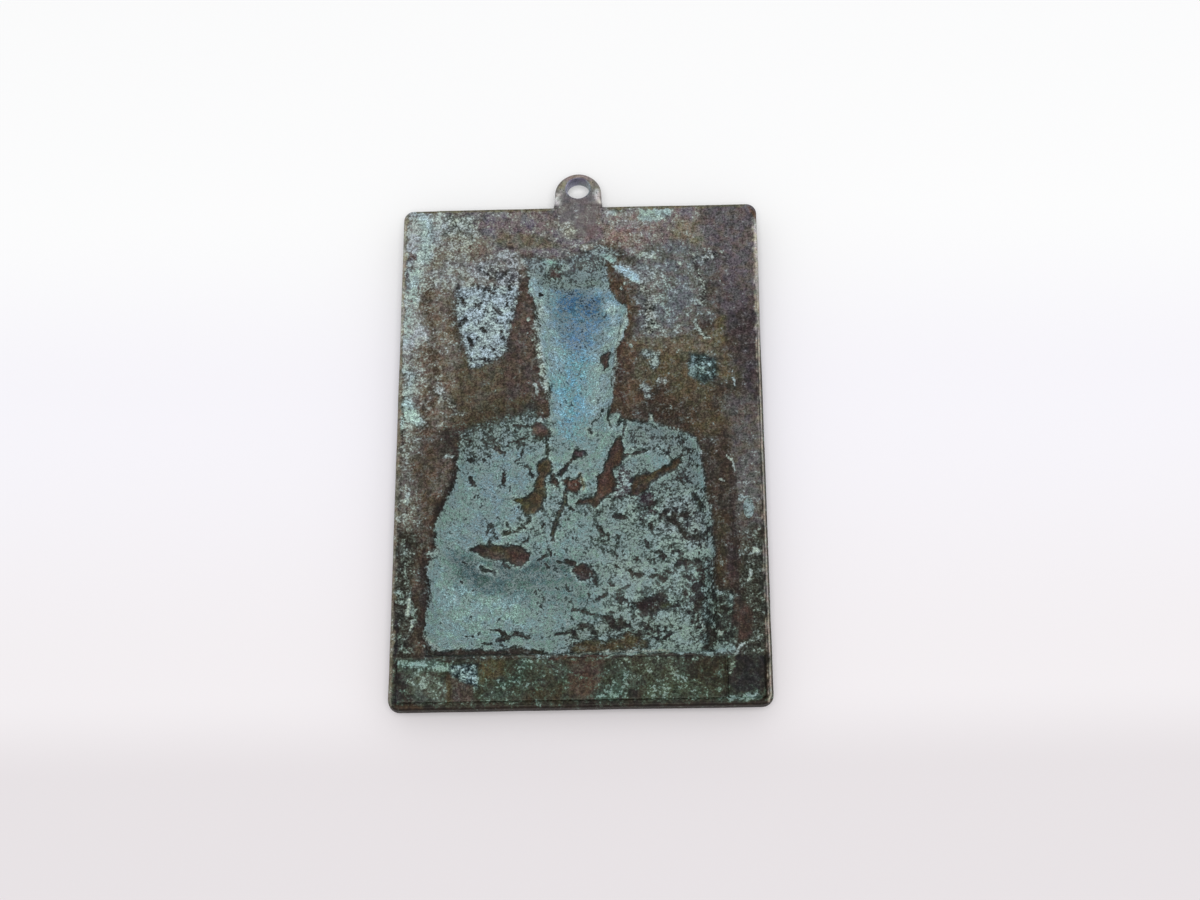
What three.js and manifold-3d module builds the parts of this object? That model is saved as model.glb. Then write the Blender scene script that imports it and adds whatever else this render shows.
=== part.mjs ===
// A small bronze icon plaque, lying on its face with its hollow back up.
// A thin struck plate carries a saint's bust, raised on the front and hollow behind. A bent channel
// rims the plate, a hanging lug is let into the rim at the top, and a strip and a square patch are
// soldered across the foot. Millimetres, +Z out of the back, +Y towards the lug, +X to the right
// as the back is seen.
import * as THREE from "three";
import { mergeVertices } from "three/addons/utils/BufferGeometryUtils.js";
import Module from "manifold-3d";

// Driving dimensions
const plaque = { width: 60, height: 90, cornerRadius: 1.9 };
const plate = { thickness: 0.9 };
// The channel that grips the plate's edge. Its ends meet at a saw cut in the top edge, and the end
// left of the cut lies lower.
const rim = { wall: 0.55, lip: 0.95, lipThickness: 0.45, backRounding: 0.55, frontRounding: 0.3 };
const joint = { width: 0.35, fromCentre: -24.3, drop: 0.28 };
// The flat bands round the field, stepped towards the front, so that they are low on the back.
const border = { side: 5, top: 9, bottom: 8.7, step: 0.5, ramp: 1.1 };
// A round moulding on the front, along the inner edge of the border.
const moulding = { width: 1.4, rise: 0.6 };
// The relief stands this far off the field, up to a level where its crests are rubbed flat.
const relief = { crest: 4.05 };
const bust = { width: 47.5, height: 41, depth: 2.2, edgeRamp: 3.2 };
const head = { width: 15.8, height: 19.4, depth: 3.3, heightAboveFoot: 62.4 };
const beard = { length: 20, topWidth: 13.8, tipWidth: 9.2, depth: 2.7, tipDepth: 2.6 };
const halo = { radius: 11.1, ringWidth: 1, ringRise: 0.45 };
// Sleeves that bulge at the foot of the bust, and shoulders.
const sleeve = { radius: 7.6, rise: 1.65 };
const shoulder = { radius: 8.5, rise: 0.6 };
// Creases of the robe: grooves on the front, ridges on the back.
const crease = { radius: 1.7, depth: 1.15 };
const fold = { radius: 1.9, rise: 0.6 };
const lug = { radius: 3.95, rise: 2.6, thickness: 2.45, rounding: 0.33, fromCentre: -0.3 };
// The bore sits higher than the eye, so the crown is thin. The neck widens where it meets the rim.
const bore = { radius: 1.95, rise: 1 };
const neck = { flare: 0.3 };
const tang = { width: 6.4, thickness: 0.45, cornerRadius: 0.8 };
const strip = { thickness: 0.42, cornerRadius: 0.6 };
const patch = { width: 5.8, thickness: 0.5 };
const lugSolder = { length: 1.7, width: 2.9, rise: 0.5, fromLug: 1.4 };
const edgeSolder = { width: 2.1, length: 4.2, rise: 0.5, heightAboveFoot: 24.6 };
// The gap between pieces that lie side by side
const seam = 0.3;
// How far a cut runs past the face it goes through
const overrun = 1;
// The longest sides of the grid's cells, on the front and on the back.
const grid = { face: 0.75, figure: 1.7, band: 2.6, backFigure: 1.6, backBand: 3.2 };

// Shares of the sizes above
const blendShares = { beard: 0.15, head: 0.25 };
const ringShoulderShare = 0.6;
const domePowers = { head: 2.6, beard: 3, side: 0.7, taper: 0.6 };
// The beard starts this far below the head's centre.
const beardTopShare = 0.3;
const hairShares = { faceWidth: 0.7, faceHeight: 0.7, faceDrop: 0.1, rise: 0.045, soft: 0.14 };
const lockShares = { count: 3, waves: 2.5, sway: 0.25, rise: 0.02, fade: 0.25 };

// Outline of the bust from the left of its foot round to the right, as shares of its half width and
// of its height.
const bustOutlineShares = [
  [-1.05, -0.05], [-1.05, 0.1], [-1.04, 0.22], [-1.03, 0.35], [-0.99, 0.52], [-0.93, 0.66],
  [-0.86, 0.78], [-0.82, 0.9], [-0.7, 0.97], [-0.5, 1.01], [-0.25, 1.04], [0.25, 1.02],
  [0.5, 1], [0.7, 0.96], [0.82, 0.88], [0.85, 0.76], [0.87, 0.64], [0.9, 0.52],
  [0.92, 0.4], [0.92, 0.22], [0.92, 0.1], [0.93, -0.05],
];

// Runs on the robe in the same shares. Width and height are shares of the usual size.
const creaseShares = [
  { run: [[-0.22, 0.94], [-0.21, 0.86], [-0.3, 0.66], [-0.42, 0.64]], width: 1.05, height: 0.8 },
  { run: [[0, 0.86], [-0.17, 0.75]], width: 0.7, height: 0.5 },
  { run: [[0.3, 0.96], [0.21, 0.84], [0.15, 0.72], [0.04, 0.65]], width: 0.9, height: 0.9 },
  { run: [[0.67, 0.82], [0.46, 0.75], [0.36, 0.68]], width: 0.8, height: 0.8 },
  { run: [[-0.68, 0.45], [-0.54, 0.44], [-0.4, 0.42]], width: 1.1, height: 1 },
  { run: [[0, 0.35], [0.05, 0.34]], width: 0.9, height: 0.7 },
  { run: [[0.38, 0.21], [0.6, 0.22]], width: 1, height: 0.6 },
];
const sleeveShares = [
  { run: [[-0.74, 0.2], [-0.16, 0.19]], height: 1 },
  { run: [[0.68, 0.22], [0.2, 0.18]], height: 1 },
];
const shoulderShares = [
  { run: [[-0.62, 0.7], [-0.5, 0.82]], height: 1 },
  { run: [[0.6, 0.68], [0.48, 0.82]], height: 1 },
];
// Folds that the front alone shows, crisper than the hollow behind can follow.
const foldShares = [
  { run: [[-0.74, 0.86], [-0.5, 0.68], [-0.22, 0.54], [-0.02, 0.5]], height: 1 },
  { run: [[0.74, 0.84], [0.52, 0.64], [0.24, 0.52], [0.02, 0.46]], height: 1 },
  { run: [[-0.84, 0.66], [-0.66, 0.54], [-0.4, 0.52]], height: 0.7 },
  { run: [[0.78, 0.6], [0.56, 0.5], [0.3, 0.4], [0.08, 0.36]], height: 0.9 },
  { run: [[-0.86, 0.32], [-0.6, 0.31], [-0.3, 0.33], [-0.1, 0.28]], height: 0.8 },
  { run: [[0.78, 0.34], [0.6, 0.34], [0.34, 0.3]], height: 0.8 },
  { run: [[-0.88, 0.1], [-0.5, 0.08], [-0.12, 0.12]], height: 0.7 },
  { run: [[0.78, 0.1], [0.5, 0.09], [0.14, 0.12]], height: 0.7 },
];

// The face, on common proportions: runs in shares of the head's half width and half height from its
// centre. Radius is a share of the head's half width, and height one of its width.
const faceShares = [
  { run: [[-0.14, 0.16], [-0.5, 0.17]], radius: 0.16, height: 0.03 },
  { run: [[0.14, 0.16], [0.5, 0.17]], radius: 0.16, height: 0.03 },
  { run: [[-0.24, 0.02], [-0.4, 0.02]], radius: 0.26, height: -0.045 },
  { run: [[0.24, 0.02], [0.4, 0.02]], radius: 0.26, height: -0.045 },
  { run: [[-0.27, 0.01], [-0.38, 0.01]], radius: 0.15, height: 0.045 },
  { run: [[0.27, 0.01], [0.38, 0.01]], radius: 0.15, height: 0.045 },
  { run: [[0, 0.12], [0, -0.26]], radius: 0.18, height: 0.045 },
  { run: [[0, -0.26], [0, -0.3]], radius: 0.2, height: 0.03 },
  { run: [[-0.12, -0.31], [0.12, -0.31]], radius: 0.12, height: 0.02 },
  { run: [[-0.42, -0.22], [-0.44, -0.24]], radius: 0.3, height: 0.02 },
  { run: [[0.42, -0.22], [0.44, -0.24]], radius: 0.3, height: 0.02 },
  { run: [[-0.08, -0.42], [-0.42, -0.56]], radius: 0.15, height: 0.035 },
  { run: [[0.08, -0.42], [0.42, -0.56]], radius: 0.15, height: 0.035 },
  { run: [[-0.14, -0.5], [0.14, -0.5]], radius: 0.1, height: -0.03 },
  { run: [[-0.08, -0.58], [0.08, -0.58]], radius: 0.11, height: 0.02 },
];

// Levels: crests rest at zero, and the field's back is on top.
const fieldFront = relief.crest;
const fieldBack = fieldFront + plate.thickness;
const borderBack = fieldBack - border.step;
const borderFront = fieldFront - border.step;

// Places in the plane of the plaque
const half = { x: plaque.width / 2, y: plaque.height / 2 };
const field = {
  left: -half.x + border.side,
  right: half.x - border.side,
  bottom: -half.y + border.bottom,
  top: half.y - border.top,
};
const headCentre = new THREE.Vector2(0, field.bottom + head.heightAboveFoot);
const beardTop = headCentre.y - head.height * beardTopShare;
// The low bands at the foot, where the strip and the patch lie
const footBand = {
  left: -half.x + rim.lip + seam,
  right: half.x - rim.lip - seam,
  bottom: -half.y + rim.lip + seam,
  top: field.bottom - seam,
};
// The tang reaches down to its solder, which lies at the edge of the field.
const tangFoot = field.top + lugSolder.length + 2 * seam;

const wasm = await Module();
wasm.setup();

const { clamp, lerp, smoothstep } = THREE.MathUtils;

// A closed mesh of three.js as a solid that can be cut and joined.
function solid(geometry) {
  const bare = geometry.clone();
  bare.deleteAttribute("normal");
  bare.deleteAttribute("uv");
  const merged = mergeVertices(bare);
  return new wasm.Manifold(new wasm.Mesh({
    numProp: 3,
    vertProperties: new Float32Array(merged.attributes.position.array),
    triVerts: new Uint32Array(merged.index.array),
  }));
}

// A solid back as a three.js geometry.
function geometryOf(made) {
  const mesh = made.getMesh();
  const geometry = new THREE.BufferGeometry();
  geometry.setAttribute("position", new THREE.BufferAttribute(mesh.vertProperties, mesh.numProp));
  geometry.setIndex(new THREE.BufferAttribute(mesh.triVerts, 1));
  geometry.computeVertexNormals();
  return geometry;
}

// Rectangle with round corners between two corners.
function roundedRectangle(left, bottom, right, top, radius) {
  const shape = new THREE.Shape();
  shape.moveTo(left + radius, bottom);
  shape.absarc(right - radius, bottom + radius, radius, -Math.PI / 2, 0);
  shape.absarc(right - radius, top - radius, radius, 0, Math.PI / 2);
  shape.absarc(left + radius, top - radius, radius, Math.PI / 2, Math.PI);
  shape.absarc(left + radius, bottom + radius, radius, Math.PI, Math.PI * 1.5);
  return shape;
}

// The plaque's outline moved inwards.
function plaqueOutline(inset) {
  const radius = Math.max(plaque.cornerRadius - inset, seam);
  return roundedRectangle(-half.x + inset, -half.y + inset, half.x - inset, half.y - inset, radius);
}

// A flat prism of a shape between two levels.
function prism(shape, low, high, curveSegments = 5) {
  const options = { depth: high - low, bevelEnabled: false, curveSegments };
  return new THREE.ExtrudeGeometry(shape, options).translate(0, 0, low);
}

// A prism with rounded edges.
function roundedPrism(shape, low, high, rounding, curveSegments) {
  const geometry = new THREE.ExtrudeGeometry(shape, {
    depth: high - low - 2 * rounding,
    bevelSize: rounding,
    bevelThickness: rounding,
    bevelOffset: -rounding,
    bevelSegments: 3,
    curveSegments,
  });
  return geometry.translate(0, 0, low + rounding);
}

function block(left, bottom, low, right, top, high) {
  const geometry = new THREE.BoxGeometry(right - left, top - bottom, high - low);
  return geometry.translate((left + right) / 2, (bottom + top) / 2, (low + high) / 2);
}

// Grid lines between stops, where each stretch has its own longest step.
function gradedLines(stops, steps) {
  const lines = [stops[0]];
  for (let i = 0; i < steps.length; i += 1) {
    const count = Math.max(1, Math.ceil((stops[i + 1] - stops[i]) / steps[i]));
    for (let k = 1; k <= count; k += 1) {
      lines.push(lerp(stops[i], stops[i + 1], k / count));
    }
  }
  return lines;
}

// A block on a grid, whose underside and top follow two height functions. It starts as a block of
// side 1, whose corners count through the grid's lines.
function blockBetween(xs, ys, low, high) {
  const geometry = new THREE.BoxGeometry(1, 1, 1, xs.length - 1, ys.length - 1, 1);
  const places = geometry.attributes.position;
  for (let i = 0; i < places.count; i += 1) {
    const x = xs[Math.round((places.getX(i) + 0.5) * (xs.length - 1))];
    const y = ys[Math.round((places.getY(i) + 0.5) * (ys.length - 1))];
    const surface = places.getZ(i) < 0 ? low : high;
    places.setXYZ(i, x, y, surface(x, y));
  }
  return geometry;
}

// A rounded bump: 1 on its line, level there, and 0 at its radius and beyond.
function bump(out) {
  const inside = Math.max(0, 1 - out * out);
  return inside * inside;
}

// Distance from a point to a run of straight stretches.
function distanceToRun(x, y, run) {
  let nearest = Infinity;
  for (let i = 0; i + 1 < run.length; i += 1) {
    const a = run[i];
    const b = run[i + 1];
    const along = b.clone().sub(a);
    const part = clamp(((x - a.x) * along.x + (y - a.y) * along.y) / along.lengthSq(), 0, 1);
    nearest = Math.min(nearest, Math.hypot(x - a.x - along.x * part, y - a.y - along.y * part));
  }
  return nearest;
}

// How far inside a closed outline a point lies, less than zero outside it.
function depthInside(x, y, outline) {
  let inside = false;
  for (let i = 0; i < outline.length; i += 1) {
    const a = outline[i];
    const b = outline[(i + 1) % outline.length];
    if (a.y > y !== b.y > y && x < ((b.x - a.x) * (y - a.y)) / (b.y - a.y) + a.x) {
      inside = !inside;
    }
  }
  const distance = distanceToRun(x, y, [...outline, outline[0]]);
  return inside ? distance : -distance;
}

// The larger of two depths, rounded off where they meet below the field.
function softMax(a, b, softness) {
  const part = clamp(0.5 + (a - b) / (2 * softness), 0, 1);
  const below = Math.min(1, Math.max(a, b) / softness);
  return lerp(b, a, part) + softness * below * part * (1 - part);
}

// Places on the bust and on the head, from their shares.
const onBust = ([x, y]) => new THREE.Vector2((x * bust.width) / 2, field.bottom + y * bust.height);
const onHead = ([x, y]) => new THREE.Vector2(
  headCentre.x + (x * head.width) / 2,
  headCentre.y + (y * head.height) / 2,
);
const placeRuns = (rows, place) => rows.map((row) => ({ ...row, run: row.run.map(place) }));

const bustOutline = new THREE.SplineCurve(bustOutlineShares.map(onBust)).getSpacedPoints(60);
const creases = placeRuns(creaseShares, onBust);
const sleeves = placeRuns(sleeveShares, onBust);
const shoulders = placeRuns(shoulderShares, onBust);
const folds = placeRuns(foldShares, onBust);
const features = placeRuns(faceShares, onHead);
const fieldOutline = [
  new THREE.Vector2(field.left, field.bottom),
  new THREE.Vector2(field.right, field.bottom),
  new THREE.Vector2(field.right, field.top),
  new THREE.Vector2(field.left, field.top),
];

// Robe: a rounded edge all round, bulging sleeves and shoulders, less its creases.
function robeDepth(x, y) {
  const inside = depthInside(x, y, bustOutline);
  if (inside <= 0) {
    return 0;
  }
  let depth = bust.depth;
  for (const { run, height } of sleeves) {
    depth += sleeve.rise * height * bump(distanceToRun(x, y, run) / sleeve.radius);
  }
  for (const { run, height } of shoulders) {
    depth += shoulder.rise * height * bump(distanceToRun(x, y, run) / shoulder.radius);
  }
  for (const { run, width, height } of creases) {
    depth -= crease.depth * height * bump(distanceToRun(x, y, run) / (crease.radius * width));
  }
  return depth * Math.sin((Math.min(1, inside / bust.edgeRamp) * Math.PI) / 2);
}

// How far out on the head a point lies: 0 at its centre and 1 at its edge.
function outOnHead(x, y) {
  return Math.hypot(((x - headCentre.x) * 2) / head.width, ((y - headCentre.y) * 2) / head.height);
}

function headDepth(x, y) {
  return head.depth * Math.max(0, 1 - outOnHead(x, y) ** domePowers.head) ** domePowers.side;
}

const downBeard = (y) => clamp((beardTop - y) / beard.length, 0, 1);
const beardHalfWidth = (y) => lerp(beard.topWidth, beard.tipWidth, downBeard(y) ** domePowers.taper) / 2;

function beardDepth(x, y) {
  const past = Math.max(0, y - beardTop, beardTop - beard.length - y);
  const out = Math.hypot(x - headCentre.x, past) / beardHalfWidth(y);
  const dome = Math.max(0, 1 - out ** domePowers.beard) ** domePowers.side;
  return dome * lerp(beard.depth, beard.tipDepth, downBeard(y));
}

// How far the plate is struck towards the front. The hollow behind follows this smooth form.
function struckDepth(x, y) {
  const bearded = softMax(robeDepth(x, y), beardDepth(x, y), bust.edgeRamp * blendShares.beard);
  const figure = softMax(bearded, headDepth(x, y), bust.edgeRamp * blendShares.head);
  return lerp(border.step, figure, smoothstep(depthInside(x, y, fieldOutline), 0, border.ramp));
}

// Hair round the bare face.
function hairRise(x, y) {
  const faceCentreY = headCentre.y - head.height * hairShares.faceDrop;
  const across = (x - headCentre.x) / (head.width * hairShares.faceWidth);
  const up = (y - faceCentreY) / (head.height * hairShares.faceHeight);
  const off = smoothstep(2 * Math.hypot(across, up), 1 - hairShares.soft, 1 + hairShares.soft);
  const on = smoothstep(1 + hairShares.soft / 2 - outOnHead(x, y), 0, hairShares.soft);
  return smoothstep(y, beardTop - seam, beardTop + head.height * hairShares.soft) * off * on;
}

// Locks of the beard, side by side and swaying down to its tip.
function lockRise(x, y) {
  const side = (x - headCentre.x) / beardHalfWidth(y);
  const down = downBeard(y);
  const sway = lockShares.sway * Math.sin(down * lockShares.waves * Math.PI);
  const toEdges = [1 - Math.abs(side), down, 1 - down].map((left) => smoothstep(left, 0, lockShares.fade));
  return toEdges[0] * toEdges[1] * toEdges[2] * Math.cos((side + sway) * lockShares.count * Math.PI);
}

// The moulding rises to a round crest in the middle of its width.
function mouldingRise(x, y) {
  const middle = moulding.width / 2;
  return bump((depthInside(x, y, fieldOutline) + middle) / middle);
}

// What the front adds to the smooth form.
function frontRise(x, y) {
  let rise = moulding.rise * mouldingRise(x, y);
  rise += head.width * (hairShares.rise * hairRise(x, y) + lockShares.rise * lockRise(x, y));
  for (const { run, radius, height } of features) {
    rise += height * head.width * bump(distanceToRun(x, y, run) / ((radius * head.width) / 2));
  }
  const clear = smoothstep(Math.abs(x - headCentre.x) / beardHalfWidth(y), 1, 1.3);
  const draped = y < beardTop - beard.length ? 1 : clear;
  const onRobe = draped * smoothstep(depthInside(x, y, bustOutline), 0, bust.edgeRamp);
  for (const { run, height } of folds) {
    rise += onRobe * fold.rise * height * bump(distanceToRun(x, y, run) / fold.radius);
  }
  return rise;
}

// The struck plate: one height field on its front, a smoother one on its back.
function makeReliefPlate() {
  const edge = { x: half.x - rim.wall, y: half.y - rim.wall };
  const side = head.width / 2;
  const chin = headCentre.y - head.height / 2;
  const crown = headCentre.y + head.height / 2;
  const rib = moulding.width;
  const xs = gradedLines(
    [-edge.x, field.left - rib, field.left, -side, side, field.right, field.right + rib, edge.x],
    [grid.band, rib / 2, grid.figure, grid.face, grid.figure, rib / 2, grid.band],
  );
  const ys = gradedLines(
    [-edge.y, field.bottom - rib, field.bottom, chin, crown, field.top, field.top + rib, edge.y],
    [grid.band, rib / 2, grid.figure, grid.face, grid.figure, rib / 2, grid.band],
  );
  const { ramp } = border;
  const backXs = gradedLines(
    [-edge.x, field.left, field.left + ramp, field.right - ramp, field.right, edge.x],
    [grid.backBand, ramp, grid.backFigure, ramp, grid.backBand],
  );
  const backYs = gradedLines(
    [-edge.y, field.bottom, field.bottom + ramp, field.top - ramp, field.top, edge.y],
    [grid.backBand, ramp, grid.backFigure, ramp, grid.backBand],
  );
  const front = (x, y) => Math.max(0, fieldFront - struckDepth(x, y) - frontRise(x, y));
  const back = (x, y) => fieldBack - struckDepth(x, y);
  const ceiling = fieldBack + overrun;
  const fromFront = solid(blockBetween(xs, ys, front, () => ceiling));
  const fromBack = solid(blockBetween(backXs, backYs, () => -overrun, back));
  const outline = solid(prism(plaqueOutline(rim.wall), -overrun, ceiling));
  return fromFront.add(makeHaloRing()).intersect(fromBack).intersect(outline);
}

// Raised ring of the halo. The struck form behind it cuts it off at the head and the beard.
function makeHaloRing() {
  const root = fieldFront + plate.thickness / 2;
  const shoulderLevel = fieldFront - halo.ringRise * ringShoulderShare;
  const ring = new THREE.LatheGeometry([
    new THREE.Vector2(halo.radius - halo.ringWidth, root),
    new THREE.Vector2(halo.radius - halo.ringWidth, shoulderLevel),
    new THREE.Vector2(halo.radius - halo.ringWidth / 2, fieldFront - halo.ringRise),
    new THREE.Vector2(halo.radius, shoulderLevel),
    new THREE.Vector2(halo.radius, root),
    new THREE.Vector2(halo.radius - halo.ringWidth, root),
  ], 48);
  return solid(ring.rotateX(Math.PI / 2).translate(headCentre.x, headCentre.y, 0));
}

// The channel: a rounded frame, less its window, the slot that grips the plate, the saw cut with
// the lower end beside it, and the notch for the tang.
function makeRim() {
  const low = borderFront - rim.lipThickness;
  const high = borderBack + rim.lipThickness;
  const middle = (low + high) / 2;
  const cuts = [
    prism(plaqueOutline(rim.lip), low - overrun, high + overrun),
    prism(plaqueOutline(rim.wall), borderFront, borderBack),
    block(
      joint.fromCentre - joint.width / 2, half.y - rim.lip - overrun, low - overrun,
      joint.fromCentre + joint.width / 2, half.y + overrun, high + overrun,
    ),
    block(
      -half.x - overrun, half.y - joint.drop, low - overrun,
      joint.fromCentre, half.y + overrun, high + overrun,
    ),
    block(
      lug.fromCentre - tang.width / 2 - seam, half.y - rim.lip - overrun, borderBack,
      lug.fromCentre + tang.width / 2 + seam, half.y + overrun, high + overrun,
    ),
  ];
  const { backRounding, frontRounding } = rim;
  const backHalf = roundedPrism(plaqueOutline(0), middle - backRounding, high, backRounding, 5);
  const frontHalf = roundedPrism(plaqueOutline(0), low, middle + frontRounding, frontRounding, 5);
  return cuts.reduce((made, cut) => made.subtract(solid(cut)), solid(backHalf).add(solid(frontHalf)));
}

// The eye with its bore, on a neck that stands on the rim, and the tang let into the rim's back
function makeLug() {
  const top = borderBack + tang.thickness;
  const x = lug.fromCentre;
  const centre = half.y + lug.rise;
  const outline = new THREE.Shape();
  outline.moveTo(x - lug.radius - neck.flare, half.y);
  outline.lineTo(x + lug.radius + neck.flare, half.y);
  outline.absarc(x, centre, lug.radius, 0, Math.PI);
  outline.holes.push(new THREE.Path().absarc(x, centre + bore.rise, bore.radius, 0, Math.PI * 2, true));
  const eye = roundedPrism(outline, top - lug.thickness, top, lug.rounding, 12);
  const tongue = prism(
    roundedRectangle(
      x - tang.width / 2, tangFoot,
      x + tang.width / 2, half.y + lug.rounding + tang.cornerRadius,
      tang.cornerRadius,
    ),
    borderBack,
    top,
  );
  return solid(eye).add(solid(tongue));
}

// A drop of solder: a low dome on the border's back
function makeDrop(x, y, width, length, rise) {
  const dome = new THREE.SphereGeometry(width / 2, 16, 10);
  dome.scale(1, length / width, (2 * rise) / width).translate(x, y, borderBack);
  const over = block(x - width, y - length, borderBack, x + width, y + length, borderBack + rise + overrun);
  return solid(dome).intersect(solid(over));
}

const makeLugSolder = () => makeDrop(
  lug.fromCentre + lugSolder.fromLug,
  field.top + seam + lugSolder.length / 2,
  lugSolder.width, lugSolder.length, lugSolder.rise,
);

const makeEdgeSolder = () => makeDrop(
  (field.right + half.x - rim.lip) / 2,
  field.bottom + edgeSolder.heightAboveFoot,
  edgeSolder.width, edgeSolder.length, edgeSolder.rise,
);

// The strip across the foot, up to the patch
function makeStrip() {
  const right = footBand.right - patch.width - seam;
  const shape = roundedRectangle(footBand.left, footBand.bottom, right, footBand.top, strip.cornerRadius);
  return solid(prism(shape, borderBack, borderBack + strip.thickness));
}

function makePatch() {
  const left = footBand.right - patch.width;
  const shape = roundedRectangle(left, footBand.bottom, footBand.right, footBand.top, strip.cornerRadius);
  return solid(prism(shape, borderBack, borderBack + patch.thickness));
}

// Materials: the same bronze under more or less patina
function bronze(color, roughness, metalness) {
  return new THREE.MeshStandardMaterial({ color, roughness, metalness });
}
const makeVerdigris = () => bronze(0x6f7f74, 0.75, 0.35);
const makeEdgeBronze = () => bronze(0x5d5648, 0.55, 0.6);
const makeLugBronze = () => bronze(0x5a544c, 0.5, 0.65);
const makeStripBronze = () => bronze(0x4b5c4d, 0.75, 0.35);
const makePatchBronze = () => bronze(0x34352f, 0.6, 0.5);
const makeSolder = () => bronze(0x6c7672, 0.5, 0.6);

const icon = new THREE.Group();

function addPiece(name, made, material) {
  const mesh = new THREE.Mesh(geometryOf(made), material);
  mesh.name = name;
  icon.add(mesh);
}

addPiece("relief_plate", makeReliefPlate(), makeVerdigris());
addPiece("rim_channel", makeRim(), makeEdgeBronze());
addPiece("hanging_lug", makeLug(), makeLugBronze());
addPiece("foot_strip", makeStrip(), makeStripBronze());
addPiece("corner_patch", makePatch(), makePatchBronze());
addPiece("lug_solder", makeLugSolder(), makeSolder());
addPiece("edge_solder", makeEdgeSolder(), makeSolder());

// The origin is under the middle of the plaque and its lug, where the relief's crests rest.
const bounds = new THREE.Box3().setFromObject(icon);
const middle = bounds.getCenter(new THREE.Vector3());
icon.position.set(-middle.x, -middle.y, -bounds.min.z);

export default icon;
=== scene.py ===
"""Looks of a small bronze icon plaque that lies on its face, its hollow back up, on a pale floor."""

import math

import bpy
import numpy as np
from mathutils import Matrix, Vector


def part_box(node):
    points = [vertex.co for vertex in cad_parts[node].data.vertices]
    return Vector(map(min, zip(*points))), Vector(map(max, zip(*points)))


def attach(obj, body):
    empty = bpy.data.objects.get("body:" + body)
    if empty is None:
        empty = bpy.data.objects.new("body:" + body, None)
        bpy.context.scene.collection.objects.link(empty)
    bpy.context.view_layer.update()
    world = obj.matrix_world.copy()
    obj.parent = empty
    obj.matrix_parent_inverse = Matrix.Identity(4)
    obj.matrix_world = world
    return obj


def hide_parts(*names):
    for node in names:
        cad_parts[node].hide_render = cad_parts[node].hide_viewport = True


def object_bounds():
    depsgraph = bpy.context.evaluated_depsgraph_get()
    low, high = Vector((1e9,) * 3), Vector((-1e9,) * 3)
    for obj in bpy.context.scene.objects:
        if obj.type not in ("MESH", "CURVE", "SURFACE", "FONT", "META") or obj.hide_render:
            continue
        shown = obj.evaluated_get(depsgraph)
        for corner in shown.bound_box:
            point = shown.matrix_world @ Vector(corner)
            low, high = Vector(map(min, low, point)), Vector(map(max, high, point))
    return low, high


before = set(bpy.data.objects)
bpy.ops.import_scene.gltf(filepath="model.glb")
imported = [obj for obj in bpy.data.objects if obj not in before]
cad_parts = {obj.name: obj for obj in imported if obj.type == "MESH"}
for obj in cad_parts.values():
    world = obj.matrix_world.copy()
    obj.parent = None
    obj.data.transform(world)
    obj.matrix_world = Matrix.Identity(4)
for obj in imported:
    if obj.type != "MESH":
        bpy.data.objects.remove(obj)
CAD_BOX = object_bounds()

# Lengths are millimetres until a mesh is made. A plan is measured from the plaque's middle, and a
# height from the plane that the relief's crests rest on.
METRE = 0.001


def frame_box(node):
    """A node's lowest and highest corner in the frame."""
    return [np.array(corner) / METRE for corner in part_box(node)]


RIM_LOW, RIM_HIGH = frame_box("rim_channel")
MIDDLE = (RIM_LOW + RIM_HIGH) / 2 * (1, 1, 0)


def plan_box(node):
    """A node's left, bottom, right and top in the plan, and its lowest and highest level."""
    low, high = (corner - MIDDLE for corner in frame_box(node))
    return (low[0], low[1], high[0], high[1]), low[2], high[2]


HALF_X, HALF_Y = (RIM_HIGH - RIM_LOW)[:2] / 2
CORNER = 1.9
PLATE_BOX, _, FIELD_BACK = plan_box("relief_plate")
STRIP_BOX, BORDER_BACK, STRIP_TOP = plan_box("foot_strip")
PATCH_BOX, _, PATCH_TOP = plan_box("corner_patch")
LUG_BOX, LUG_LOW, LUG_HIGH = plan_box("hanging_lug")
TANG_SOLDER_BOX, _, SOLDER_TOP = plan_box("lug_solder")
EDGE_SOLDER_BOX = plan_box("edge_solder")[0]
PLATE_THICKNESS = 0.9
FIELD_FRONT = FIELD_BACK - PLATE_THICKNESS
BORDER_STEP, BORDER_RAMP = 0.5, 1.1
FIELD_BOX = (-25.0, -36.3, 25.0, 36.0)

# The rim: its wall, the width of its lip, and the joint of its ends in the top edge
WALL, LIP = 0.55, 0.74
BACK_ROUNDING, FRONT_ROUNDING = 0.5, 0.3
JOINT_X, JOINT_DROP = -24.3, 0.28
# The lug's eye and bore
LUG_X = (LUG_BOX[0] + LUG_BOX[2]) / 2
LUG_RADIUS, NECK_FLARE = 3.95, 0.3
EYE_Y = LUG_BOX[3] - LUG_RADIUS
BORE_Y, BORE_RADIUS = EYE_Y + 1.0, 1.95
TANG_WIDTH, TANG_HEAD = 6.9, HALF_Y + 1.2

# The relief, which the plate's front and back share
MOULDING = {"width": 1.4, "rise": 0.6}
BUST = {"width": 47.5, "height": 41.0, "depth": 2.2, "edge": 3.2}
HEAD = {"x": 0.0, "y": 26.1, "width": 15.8, "height": 19.4, "depth": 3.3, "fullness": 2.6}
BEARD = {"length": 20.0, "top": 13.8, "tip": 9.2, "taper": 0.6, "depth": 2.7, "tip_depth": 2.6, "fullness": 3}
DOME_EDGE = 0.7
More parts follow.
